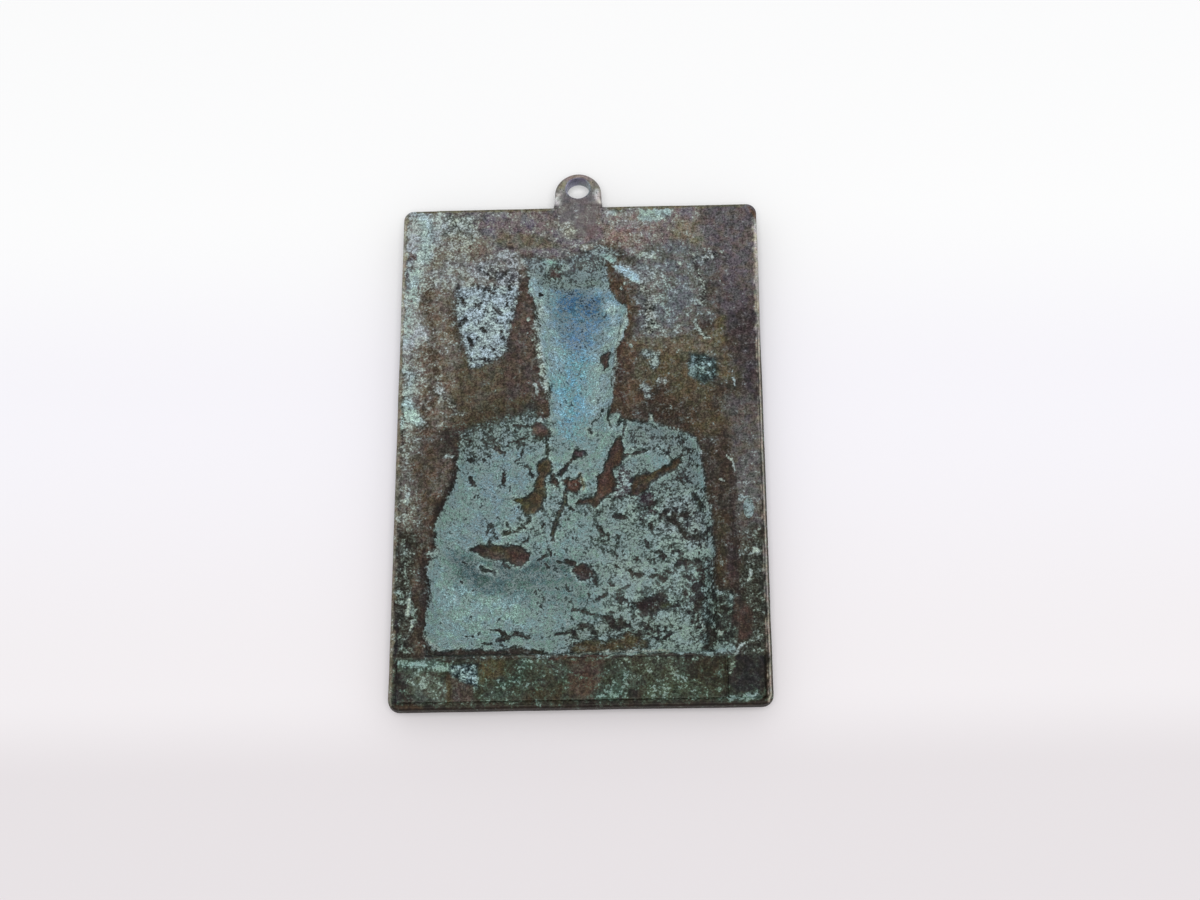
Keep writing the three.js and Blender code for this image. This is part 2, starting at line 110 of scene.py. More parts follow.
# Softness of the dips where beard and head meet the robe, as shares of the bust's edge
BEARD_MEETS, HEAD_MEETS = 0.15, 0.25
BEARD_TOP = HEAD["y"] - 0.3 * HEAD["height"]
HALO = {"radius": 11.1, "width": 1.0, "rise": 0.45, "fade": (0.05, 0.25)}
SLEEVE = {"radius": 7.6, "rise": 1.65}
SHOULDER = {"radius": 8.5, "rise": 0.6}
CREASE = {"radius": 1.9, "depth": 0.5}
FOLD = {"radius": 1.5, "rise": 0.6, "clear_of_beard": 1.3}
# Hair and the beard's locks: rises are shares of the head's width
HAIR = {"face": 0.7, "down": 0.1, "soft": 0.14, "edge": 1.07, "over_beard": 0.3, "centre": 0.3, "strands": 34,
        "curve": 2.2, "rise": 0.045, "strand": 0.007}
LOCKS = {"count": 3, "fine": 9, "fine_share": 0.4, "sway": 0.25, "fine_sway": -0.6, "waves": 2.5,
         "fade": 0.25, "rise": 0.016}
GRID = 0.25

# Outline of the bust as shares of its half width and of its height above the foot
BUST_SHARES = [
    (-1.05, -0.05), (-1.05, 0.1), (-1.04, 0.22), (-1.03, 0.35), (-0.99, 0.52), (-0.93, 0.66),
    (-0.86, 0.78), (-0.82, 0.9), (-0.7, 0.97), (-0.5, 1.01), (-0.25, 1.04), (0.25, 1.02),
    (0.5, 1.0), (0.7, 0.96), (0.82, 0.88), (0.85, 0.76), (0.87, 0.64), (0.9, 0.52),
    (0.92, 0.4), (0.92, 0.22), (0.92, 0.1), (0.93, -0.05),
]
# Runs on the robe: points in the same shares. Creases and folds also have shares of the usual size.
SLEEVES = [[(-0.74, 0.2), (-0.16, 0.19)], [(0.68, 0.22), (0.2, 0.18)]]
SHOULDERS = [[(-0.62, 0.7), (-0.5, 0.82)], [(0.6, 0.68), (0.48, 0.82)]]
CREASES = [
    ([(-0.22, 0.94), (-0.21, 0.86), (-0.3, 0.66), (-0.42, 0.64)], 1.05, 0.8),
    ([(0.0, 0.86), (-0.17, 0.75)], 0.7, 0.5),
    ([(0.3, 0.96), (0.21, 0.84), (0.15, 0.72), (0.04, 0.65)], 0.9, 0.9),
    ([(0.67, 0.82), (0.46, 0.75), (0.36, 0.68)], 0.8, 0.8),
    ([(-0.68, 0.45), (-0.54, 0.44), (-0.4, 0.42)], 1.1, 1.0),
    ([(0.0, 0.35), (0.05, 0.34)], 0.9, 0.7),
    ([(0.38, 0.21), (0.6, 0.22)], 1.0, 0.6),
]
FOLDS = [
    ([(-0.74, 0.86), (-0.5, 0.68), (-0.22, 0.54), (-0.02, 0.5)], 1.0),
    ([(0.74, 0.84), (0.52, 0.64), (0.24, 0.52), (0.02, 0.46)], 1.0),
    ([(-0.84, 0.66), (-0.66, 0.54), (-0.4, 0.52)], 0.7),
    ([(0.78, 0.6), (0.56, 0.5), (0.3, 0.4), (0.08, 0.36)], 0.9),
    ([(-0.86, 0.32), (-0.6, 0.31), (-0.3, 0.33), (-0.1, 0.28)], 0.8),
    ([(0.78, 0.34), (0.6, 0.34), (0.34, 0.3)], 0.8),
    ([(-0.88, 0.1), (-0.5, 0.08), (-0.12, 0.12)], 0.7),
    ([(0.78, 0.1), (0.5, 0.09), (0.14, 0.12)], 0.7),
]
# The face: points in shares of the head's half sizes, then shares of its half width and width. The
# first rows are those of one side: brow, socket, eye, cheek and moustache.
FACE_SIDE = [
    ([(0.14, 0.16), (0.5, 0.17)], 0.16, 0.03),
    ([(0.24, 0.02), (0.4, 0.02)], 0.26, -0.045),
    ([(0.27, 0.01), (0.38, 0.01)], 0.15, 0.045),
    ([(0.42, -0.22), (0.44, -0.24)], 0.3, 0.02),
    ([(0.08, -0.42), (0.42, -0.56)], 0.15, 0.035),
]
FACE = [
    *(([(side * px, py) for px, py in points], radius, rise)
      for points, radius, rise in FACE_SIDE for side in (-1, 1)),
    ([(0.0, 0.12), (0.0, -0.26)], 0.18, 0.045),
    ([(0.0, -0.26), (0.0, -0.3)], 0.2, 0.03),
    ([(-0.12, -0.31), (0.12, -0.31)], 0.12, 0.02),
    ([(-0.14, -0.5), (0.14, -0.5)], 0.1, -0.03),
    ([(-0.08, -0.58), (0.08, -0.58)], 0.11, 0.02),
]

# Colours as the eye reads them, 0 to 255. First the bare bronze, then the verdigris crust.
BROWN, MOSS, PURPLE = (72, 64, 54), (62, 66, 54), (112, 107, 110)
SOOT, DEEP = (38, 37, 36), (40, 49, 47)
TEAL, SLATE, GREEN = (104, 126, 123), (114, 122, 120), (80, 100, 91)
CHALK, MINT, BUFF = (168, 186, 187), (152, 165, 164), (152, 154, 148)
GROUND = {"cover": 0.25, "metal": BROWN, "crust": SLATE}
SHEET_UNDER = {"cover": 0.3, "metal": MOSS, "crust": GREEN}
DARK_MARK = {"soft": 0.22, "cover": 0.0, "metal": (46, 46, 44)}
PALE_MARK = {"soft": 0.2, "cover": 1.1, "crust": (158, 168, 160)}
# A rubbed mark: how far its pale edge reaches out, that edge's colour, and how wide its dark rim is
MARK_EDGE, MARK_EDGE_CRUST, MARK_RIM = 0.34, (124, 143, 139), 0.26


def rectangle(left, bottom, right, top):
    return [(left, bottom), (right, bottom), (right, top), (left, top)]


def run(points, reach, soft, cover, metal=None, crust=None, closed=False):
    """Paint along a run of straight stretches, as far as its reach, with a soft edge. Cover says how
    thick the crust is, 1 for closed and 0 for none. What is None stays as the rows before it left it."""
    return {
        "points": points, "reach": reach, "soft": soft, "cover": cover, "metal": metal, "crust": crust,
        "closed": closed,
    }


def area(points, soft, cover, metal=None, crust=None):
    """Paint for a closed area."""
    return run(points, 0, soft, cover, metal, crust, closed=True)


# Paint of the back, in order. Points are in millimetres in the plane of the plaque's outline, and
# points above or below it are carried there along the photo's line of sight.
GROUNDS = [
    area(rectangle(-31, 36.5, 31, 47), 1.2, 0.24, PURPLE, (140, 140, 134)),
    area([(-31, 18), (-31, 47), (-22, 47), (-23.6, 36), (-25, 28), (-26, 18)], 1.6, 0.74, (137, 134, 133),
         (155, 157, 157)),
    area(rectangle(-31, -14, -26.4, 19), 1.4, 0.46, (104, 98, 91), (130, 134, 126)),
    area([(-31, 3), (-31, 20), (-24.6, 20), (-25, 3)], 1.2, 0.56, (118, 112, 107), (144, 147, 142)),
    area([(-31, 33), (-31, 21), (-26, 21), (-25.6, 33)], 1.0, 0.9, (143, 141, 141), (160, 163, 162)),
    area([(-31, -47), (-31, -15), (-28, -13), (-25.6, -16), (-25.4, -37), (-28, -47)], 2.4, 0.2,
         (44, 42, 36), (98, 106, 98)),
    area([(-26, -36), (-26.4, 8), (-24.6, 30), (-21.5, 30), (-20, 8), (-19, 0), (-23, -12), (-24.5, -36)],
         1.0, 0.06, (86, 77, 67)),
    area([(-26.4, 3), (-26.4, 31), (-21.4, 31), (-20.4, 20), (-21, 3)], 1.4, 0.24, (106, 97, 86),
         (136, 138, 132)),
    run([(-29.2, 36), (-28.8, 19)], 1.5, 1.4, 0.8, (137, 134, 134), (157, 158, 159)),
    area([(-24.5, 31), (-22.5, 36), (-14, 36.8), (-8, 35.4), (-9.5, 29.5), (-21, 29.5)], 1.6, 0.6,
         (130, 127, 123), (148, 151, 149)),
    area([(-26.6, 29.6), (-26.4, 36), (-10, 36.4), (-10.4, 30.4), (-20.6, 29.4)], 1.0, 0.56,
         (122, 120, 115), (142, 144, 141)),
    area([(-26.4, 31), (-22, 36.5), (-14, 38), (-20, 43.6), (-26, 42)], 1.2, 0.5, (118, 114, 106),
         (140, 139, 130)),
    area([(-21.5, 4.6), (-21.5, 16), (-12, 15), (-12.4, 4.6)], 1.2, 0.04, (80, 74, 62), (100, 106, 98)),
    area([(9.8, 21), (10, 36), (16, 37.6), (21.4, 36.4), (20.8, 24), (18, 21.6), (14, 18.4)], 2.2, 0.3,
         (104, 107, 109), (122, 129, 130)),
    area([(21.6, -8), (22, 47), (31, 47), (31, -8)], 1.8, 0.12, (84, 78, 80), (103, 98, 99)),
    area([(22, 32), (22, 47), (31, 47), (31, 30)], 2.4, 0.14, (95, 89, 91), (110, 106, 107)),
    area([(24, 9), (23, 24), (28.6, 24), (28.6, 9)], 1.5, 0.1, (62, 56, 59)),
    area([(10, 4), (10, 20), (24, 20.5), (27, 9), (24, 3), (19.5, 1), (14, 4)], 1.4, 0.04, (84, 78, 60),
         SLATE),
    area([(10, 15), (10.4, 20.6), (23, 21), (22, 15.4)], 1.4, 0.14, (98, 92, 78), (124, 126, 118)),
    area([(16, 2), (15, 9), (25, 10), (25.6, 3), (22, 0)], 1.2, 0.0, (78, 70, 54)),
    area(rectangle(21.6, 8, 26, 12), 1.0, 0.0, (64, 58, 50)),
    area([(9.6, 4.4), (9.6, 12), (14, 11), (19, 4), (19, 1), (14, 3)], 1.2, 0.04, (58, 49, 41), SLATE),
    area([(24.4, -16), (24, 9), (31, 9), (31, -16)], 1.6, 0.2, (87, 83, 81), (104, 104, 100)),
    area([(25.6, -12), (25.4, -3), (31, -2), (31, -12)], 1.2, 0.3, (98, 96, 93), (114, 114, 110)),
    area([(19.6, -36), (19.6, 1), (24, 3), (25.2, -8), (25.4, -36)], 0.7, 0.04, (60, 53, 46)),
    area([(21.4, -24), (21.4, -13), (23.4, -13), (23.6, -24)], 0.8, 0.0, (66, 58, 42)),
    area(rectangle(23.4, -25, 25.2, -17), 0.8, 0.0, (60, 50, 50)),
    area([(25.2, -38), (25.2, -20), (27, -15), (30.4, -14), (30.4, -38)], 2.0, 0.32, (50, 49, 42),
         (98, 105, 96)),
    area([(25.6, -36.4), (25.6, -22), (29.4, -20), (29.4, -36.4)], 0.7, 0.34, (46, 46, 38), (96, 104, 95)),
    area([(-10.6, 33.6), (-8.4, 33.6), (-6, 26), (-4, 8), (-5, 4.6), (-12, 4.6), (-12.8, 11), (-12.2, 18),
          (-11.6, 23), (-10.6, 27)], 0.6, -0.05, (76, 67, 62)),
    area([(4, 33), (5.6, 33.2), (8, 31), (9.6, 27), (9.6, 15), (11, 8), (11, 5), (4, 4), (4, 20)], 1.0, 0.0,
         (84, 72, 60)),
    run([(6.2, 25), (6.6, 12), (7.4, 6.4)], 0.6, 0.8, None, (66, 54, 46)),
    area([(-31, -36.4), (-31, -46), (31, -46), (31, -36.6)], 0.5, 0.26, (54, 57, 46), (80, 98, 84)),
]
UPPER_DETAILS = [
    area([(-24.6, 44), (-24, 40.6), (-18, 40), (-17, 42.6), (-19, 44.4)], 1.0, 0.55, (76, 82, 76),
         (150, 156, 152)),
    area([(-27, 44.2), (-27, 38), (-24, 38.4), (-22.6, 42), (-23, 44.2)], 0.8, 0.7, (122, 122, 122),
         (156, 162, 162)),
    area([(-19, 32.6), (-18.6, 36), (-10, 37), (-9.4, 34.6), (-12, 31)], 1.0, 0.5, (124, 121, 121),
         (146, 148, 148)),
    run([(-26.8, 43), (-26.6, 39), (-27, 36.5)], 1.2, 1.0, 0.86, (96, 104, 104), (158, 174, 174)),
    run([(-29, 36), (-28.8, 33), (-29, 30)], 0.5, 0.6, 0.5, (92, 92, 96), (140, 150, 158)),
    run([(-16.4, 34.6), (-14, 33), (-11.6, 31.6)], 1.1, 1.0, 0.46, (70, 74, 77), (148, 152, 154)),
    run([(-27.4, 33), (-27.6, 28)], 0.9, 1.2, 0.76, None, (148, 166, 162)),
    run([(-28.8, 26), (-28.8, 20)], 0.6, 0.8, 0.74, None, MINT),
    run([(-28.6, 36.8), (-28.2, 35.8)], 0.3, 0.5, 0.1, (98, 88, 84)),
    run([(-29.2, 15), (-27.8, 13.4), (-28.6, 10)], 0.6, 0.8, 0.8, DEEP, MINT),
    run([(-29.4, 9), (-29.2, 4)], 0.6, 0.8, 0.74, (90, 96, 90), (158, 178, 172)),
    run([(-29.2, 8.4), (-27.4, 7), (-25.8, 4.6)], 1.0, 0.9, 0.95, (90, 102, 96), (160, 182, 177)),
    run([(-23.4, 10.8), (-22.4, 9)], 0.5, 0.7, 0.62, (58, 56, 50), BUFF),
    run([(-21.4, 8.8), (-20.4, 7), (-19, 6.2)], 0.4, 0.7, 0.6, (58, 56, 50), BUFF),
    run([(-23.4, 5.6), (-23, 4.4)], 0.35, 0.5, 0.6, None, BUFF),
    run([(-22, 43.4), (-18.6, 42.4)], 0.7, 0.7, 0.66, DEEP, (150, 156, 146)),
    run([(-17.6, 42.4), (-8, 42.4)], 1.0, 1.1, 0.16, (104, 98, 106)),
    run([(-17.8, 38.6), (-17.2, 37)], 0.8, 0.9, 0.1, (98, 87, 80)),
    area([(-14.6, 38.6), (-13, 40.6), (-7, 40), (-4, 38.6), (-3, 37.5), (-13, 37.5)], 0.7, -0.1,
         (101, 97, 86)),
    run([(-12.4, 37.6), (-11.6, 37.4)], 0.25, 0.25, 0.0, SOOT),
    run([(-7.4, 40), (-4.8, 39.2), (-3.4, 38)], 0.35, 0.4, 0.6, None, (136, 130, 120)),
    area([(-6.4, 44.8), (-6, 42.4), (-3.6, 42.6), (3.6, 42.8), (5.4, 43.4), (4.6, 46)], 0.7, 0.2,
         (106, 101, 102), (138, 136, 134)),
    area([(4.8, 45.2), (4.8, 43.4), (7.6, 43.2), (8, 45.2)], 0.5, 0.72, (108, 114, 108), (142, 156, 148)),
    area([(-3.7, 41.8), (-1.4, 42.2), (-0.5, 40.4), (-1, 38.8), (-2.4, 39.4), (-3.6, 40.8)], 0.5, 0.62,
         (92, 90, 84), (162, 160, 148)),
    area([(1, 42), (4.4, 41.8), (4.6, 39.4), (1.4, 38.8)], 0.6, 0.12, (108, 92, 92)),
    area([(5, 44.5), (5, 38), (10, 36.6), (13.4, 41), (13, 44.6)], 1.0, 0.34, (130, 121, 119),
         (150, 150, 146)),
    area([(5.4, 40.4), (8.6, 42), (9, 39.6), (7.2, 38.4), (5, 38.2)], 0.8, 0.1, (126, 110, 107)),
    run([(3, 37.6), (6, 37)], 0.8, 0.6, 0.2, (86, 80, 66)),
    area([(10, 44.6), (10.1, 42.4), (12, 42), (13.6, 43), (15.6, 43.2), (15.6, 44.6)], 0.35, 1.0, None,
         (142, 160, 154)),
    run([(12.8, 42.2), (14.8, 43.2)], 0.25, 0.4, 0.95, None, CHALK),
    area([(15, 38), (17, 42), (21, 42), (20, 37)], 1.0, 0.16, (116, 112, 98)),
    run([(6.6, 35), (8.6, 33.6)], 0.8, 0.5, 0.1, (78, 72, 60)),
    run([(10.4, 35.4), (12.4, 35.2)], 0.6, 0.6, 0.7, None, (150, 158, 148)),
    run([(10.6, 29.6), (12, 28), (11.4, 25), (11.8, 21.6)], 0.9, 0.7, 0.48, (28, 32, 30), (158, 160, 150)),
    run([(11.4, 23), (12.6, 21.8)], 0.5, 0.7, 0.6, (34, 40, 38), (150, 162, 158)),
    run([(14, 31), (14.6, 25)], 1.0, 1.4, 0.5, None, (120, 134, 132)),
    run([(8.4, 33), (12.6, 31), (12.4, 29)], 1.4, 1.2, 0.5, (114, 114, 114), (140, 146, 144)),
    run([(13, 20.8), (18.6, 22)], 0.9, 1.0, 0.36, (108, 106, 104), (130, 136, 134)),
    run([(18.8, 36), (19.6, 33), (20.8, 29), (20.4, 26)], 0.4, 0.6, 0.34, (52, 54, 54), (150, 156, 150)),
    run([(19.2, 22.4), (20, 20.6), (21.6, 19.4)], 0.2, 0.35, 0.75, DEEP, (166, 176, 170)),
    run([(21, 34.6), (22.6, 35.4)], 0.5, 0.6, 0.5, (40, 42, 42), (156, 160, 154)),
    run([(10.8, 16.8), (12.6, 16), (12.2, 14.8)], 0.75, 0.6, 0.8, DEEP, (132, 144, 142)),
    run([(10.6, 10.8), (11.2, 9)], 0.5, 0.5, 0.85, None, (124, 130, 134)),
    run([(13, 12), (14, 11.6)], 0.35, 0.4, 0.8, None, BUFF),
    area([(18, 17), (18.2, 12.6), (20, 11), (22.4, 12), (22.4, 16)], 0.6, 0.26, (44, 54, 52),
         (96, 118, 118)),
    run([(19.6, 15.6), (21.2, 14.4), (20, 13.8), (21.6, 12.6)], 0.2, 0.5, 0.66, None, (176, 204, 202)),
    run([(18.6, 16), (18.8, 12.4)], 0.4, 0.5, 0.8, None, (100, 122, 126)),
    run([(23.6, 23), (23, 19)], 0.7, 0.8, 0.1, (92, 86, 62)),
    run([(25, 12), (25.6, 10.6)], 0.2, 0.3, 0.8, None, MINT),
]
PALE_PATCH = [
    (-20.6, 30.2), (-10.4, 30.2), (-10.8, 25.6), (-12, 22), (-12, 18), (-14, 16.6), (-16.4, 15),
    (-18.2, 14.8), (-19, 18), (-19.8, 22), (-20.7, 26),
]
HEAD_CRUST = [
    (-8.6, 33.6), (-8.6, 31), (-8.3, 28.4), (-7.6, 26.4), (-6.9, 25), (-7.3, 22), (-6.8, 18.6),
    (-6.2, 17), (-6.6, 14.6), (-5.4, 12.2), (-4.8, 10.4), (-5, 7.6), (-4.8, 4), (-4.8, 0), (4, 0),
    (4.8, 2), (4.6, 6.8), (5.3, 8.6), (5.3, 14.6), (5.8, 17.6), (7.2, 20), (7.8, 22.4), (7.5, 26.2),
    (6.2, 26.8), (5.2, 28.6), (4.6, 30.6), (4.2, 33.6),
]
BODY_CRUST = [
    (-22.4, -34.9), (-24.9, -32.2), (-24.5, -28.6), (-23.7, -26.2), (-24.2, -22.4), (-23.6, -19.2),
    (-22.3, -18), (-23.5, -16.4), (-23.3, -13.2), (-22, -10), (-20.4, -6.6), (-19.9, -3), (-19.6, 1.4),
    (-18.6, 0.4), (-16, 0.9), (-16.8, 3.2), (-14, 3), (-12.6, 4.5), (-10.4, 4.1), (-9, 4.8),
    (-8.6, 6.2), (-8, 4.4), (-7, 5), (-5, 5), (5, 5.6), (6.3, 6), (7.2, 4.2), (9.2, 4.5), (11.2, 4),
    (11.5, 5.8), (12.2, 4), (14.6, 2.8), (17.4, 2.2), (18.9, 0.8), (19.6, -2.6), (20, -6), (20, -9.4),
    (21, -12), (20.8, -16), (21.6, -18.4), (20.6, -21), (20.6, -25.4), (24, -26.4), (24.2, -29),
    (22.8, -31), (23.2, -34), (24.6, -36), (18, -36.6), (12, -36.2), (-4, -35.9), (-11, -35.6),
    (-18, -34.9),
]
CRUSTS = [
    area(PALE_PATCH, 0.7, 0.74, (42, 47, 50), (156, 170, 176)),
    area(HEAD_CRUST, 0.4, 1.1, DEEP, (132, 155, 160)),
    # Painted shade on the upper wall of the head's hollow, darkest in its middle
    area([(-9, 36), (-8.8, 32), (-4, 31), (4, 31), (4.6, 33), (7, 36)], 1.3, 0.6, (80, 81, 82),
         (108, 119, 120)),
    area([(-6.4, 33), (-6, 30), (-3, 28), (2.4, 28), (4.8, 30.6), (3.8, 33)], 1.0, 0.8, (66, 68, 66),
         (80, 94, 93)),
    area(BODY_CRUST, 0.4, 1.02, DEEP, TEAL),
    area(rectangle(-23, -33, -7, -20), 3.5, 1.2, None, (120, 144, 142)),
    area([(-19, -17), (-18, -1), (-9, 0), (-8, -16)], 2.5, 1.1, None, (106, 127, 130)),
    # Painted shade on the upper wall of the sleeve's hollow, which faces away from the light
    area([(-16.6, -20.4), (-8, -21.8), (-6, -26), (-16, -25)], 2.0, None, None, (92, 115, 114)),
    area([(-20, 1), (-15, 4.6), (-9, 5.4), (-8, 2), (-14, -1), (-20, -2)], 1.1, 0.6, (50, 54, 48),
         (98, 113, 111)),
    area([(-20, 3), (-15, 5.2), (-12, 5.8), (-9, 6.6), (-8.4, 9.6), (-13, 8.8), (-18.6, 6.4)], 0.8, 0.04,
         (68, 62, 50), (88, 100, 92)),
    area([(-20, 0), (-19, 3.4), (-14, 4.6), (-13.6, 1.4), (-18, -1)], 0.8, 0.56, (54, 55, 49),
         (91, 105, 102)),
    area([(-23, -1), (-22.6, 4), (-18.6, 4.4), (-19.4, 1.6), (-20.2, -1)], 0.5, 0.05, (58, 50, 44),
         (88, 100, 92)),
    area([(-14.2, 0.4), (-13.2, 0.6), (-12.6, -0.6), (-13.2, -1.2)], 0.3, 0.3, (84, 76, 56),
         (110, 108, 88)),
    # Painted shade in a band across the body under the sleeves
    run([(-18, -20.4), (-12, -21.8), (-5, -22), (1.6, -21.4)], 2.0, 2.2, None, None, (54, 72, 72)),
    run([(-12, -23), (-4, -25), (2, -26.6)], 1.4, 2.4, None, None, (76, 96, 93)),
    area([(8, 3.8), (12, 3.6), (17, 1.8), (19, -1), (18.6, -9), (12.6, -8), (16, -2.4), (8, 0.2)], 0.8,
         0.76, (56, 54, 55), (82, 95, 93)),
    area([(-11, 4.4), (-3.6, 4.4), (-4.4, 0), (-11, -0.4)], 0.8, 0.7, (52, 53, 47), (90, 108, 106)),
    area([(-5, -8.4), (-1, -9), (-2, -13), (-6, -15.6), (-10.6, -15.4), (-10, -12.4)], 0.8, 0.8,
         (56, 58, 52), (98, 117, 114)),
    # More painted shade under the sleeve
    area([(-15, -21.6), (-8, -22), (2, -21.4), (2, -24), (-14, -24)], 0.8, None, None, (74, 94, 93)),
    area([(5, -4), (15, -5.4), (18, -10), (6, -13)], 1.6, 0.74, (54, 52, 52), (94, 110, 108)),
    area([(0, -8), (13, -8), (14, -13), (1, -13.4)], 1.2, 0.7, (50, 52, 50), (94, 110, 106)),
    area(rectangle(5, -35, 20, -9), 2.5, 0.7, (38, 44, 42), (110, 127, 121)),
    area([(1, -13), (11, -13), (12.6, -18), (12.6, -25), (3, -25), (1, -19)], 1.6, 0.86, (46, 52, 48),
         (97, 115, 110)),
    area([(0, -36), (0, -20), (5, -14), (8, -14), (8, -36)], 2.0, 0.84),
    area([(13, -9), (20, -8), (20.6, -18), (14, -16)], 1.5, 0.6, (48, 48, 50), (120, 132, 130)),
    area([(16.6, -20), (20.8, -20), (20.4, -34), (17, -34)], 1.0, 0.48, (50, 46, 46)),
    area([(20.6, -26), (24.6, -25.6), (24.6, -35), (20.8, -35)], 0.9, 0.26, (40, 40, 35), (90, 104, 94)),
    area(rectangle(5, -24.4, 11, -19.6), 1.2, 0.9, (50, 54, 50), (116, 132, 127)),
    area([(12, -30), (18, -30), (18, -36), (11, -36)], 1.5, 0.82, None, (114, 132, 124)),
    area([(-3, -31.4), (-3, -34.6), (10, -34), (14, -30), (12, -27.6)], 1.2, 0.68, (48, 48, 44),
         (98, 112, 104)),
    area([(6.4, -3.4), (8.2, -4.6), (8.4, -9.2), (5.6, -9)], 0.5, 0.42, (64, 56, 62), (128, 142, 144)),
    run([(-1.6, 18), (-1.6, 3)], 2.4, 2.0, None, (74, 104, 114), (98, 138, 152)),
    run([(3.4, 20), (3.4, 8)], 1.0, 1.4, None, None, (128, 146, 144)),
    run([(-3.4, 12), (-3.6, 3)], 0.7, 1.0, None, None, (116, 158, 168)),
    # The head's dark blue middle: partly the crust's own blue, partly painted shade in the deepest part of
    # the hollow
    run([(-1.4, 25.4), (1, 25.8), (3.2, 25)], 2.6, 3.2, None, None, (62, 94, 116)),
    run([(-0.6, 27.2), (1, 26.4), (2.4, 24.4)], 1.4, 2.4, None, None, (46, 79, 108)),
    run([(-0.6, 21.6), (1, 20.4)], 1.6, 2.0, None, None, (78, 109, 136)),
    run([(-2.4, 22), (-1.4, 19)], 1.0, 2.2, None, None, (92, 116, 140)),
    # More painted shade at the top of the head's hollow
    run([(-3, 30), (2, 30.4)], 0.8, 1.2, 0.9, None, (92, 108, 98)),
    # Painted highlights on the rims of the head's hollow, right and left
    run([(6.3, 25), (6.6, 22), (6.2, 20)], 0.5, 0.9, 1.1, None, (166, 188, 190)),
    run([(-7.4, 28), (-6, 24)], 0.9, 1.2, None, None, (152, 172, 173)),
    run([(-6.9, 26), (-7.2, 20), (-6.2, 14), (-5.3, 9)], 0.5, 0.6, 0.56, (58, 54, 46), (160, 172, 164)),
    run([(7.5, 24), (6, 18), (5.4, 11)], 0.25, 0.4, 0.62, (56, 50, 44), (158, 170, 164)),
    run([(-2.6, 4.8), (-2.4, 4.3)], 0.3, 0.7, None, None, (80, 110, 124)),
    run([(-6, 34.6), (-4.2, 34.4)], 0.5, 0.6, 0.95, None, (108, 138, 132)),
    run([(4, 35.6), (5.6, 34.8)], 0.4, 0.4, 0.9, None, (128, 156, 154)),
    area([(5.4, 33.6), (6.8, 33.8), (9, 32.5), (10, 31.8), (10, 30.1), (9, 30.5), (7.2, 31.9)], 0.25, 1.1,
         None, (158, 182, 190)),
]
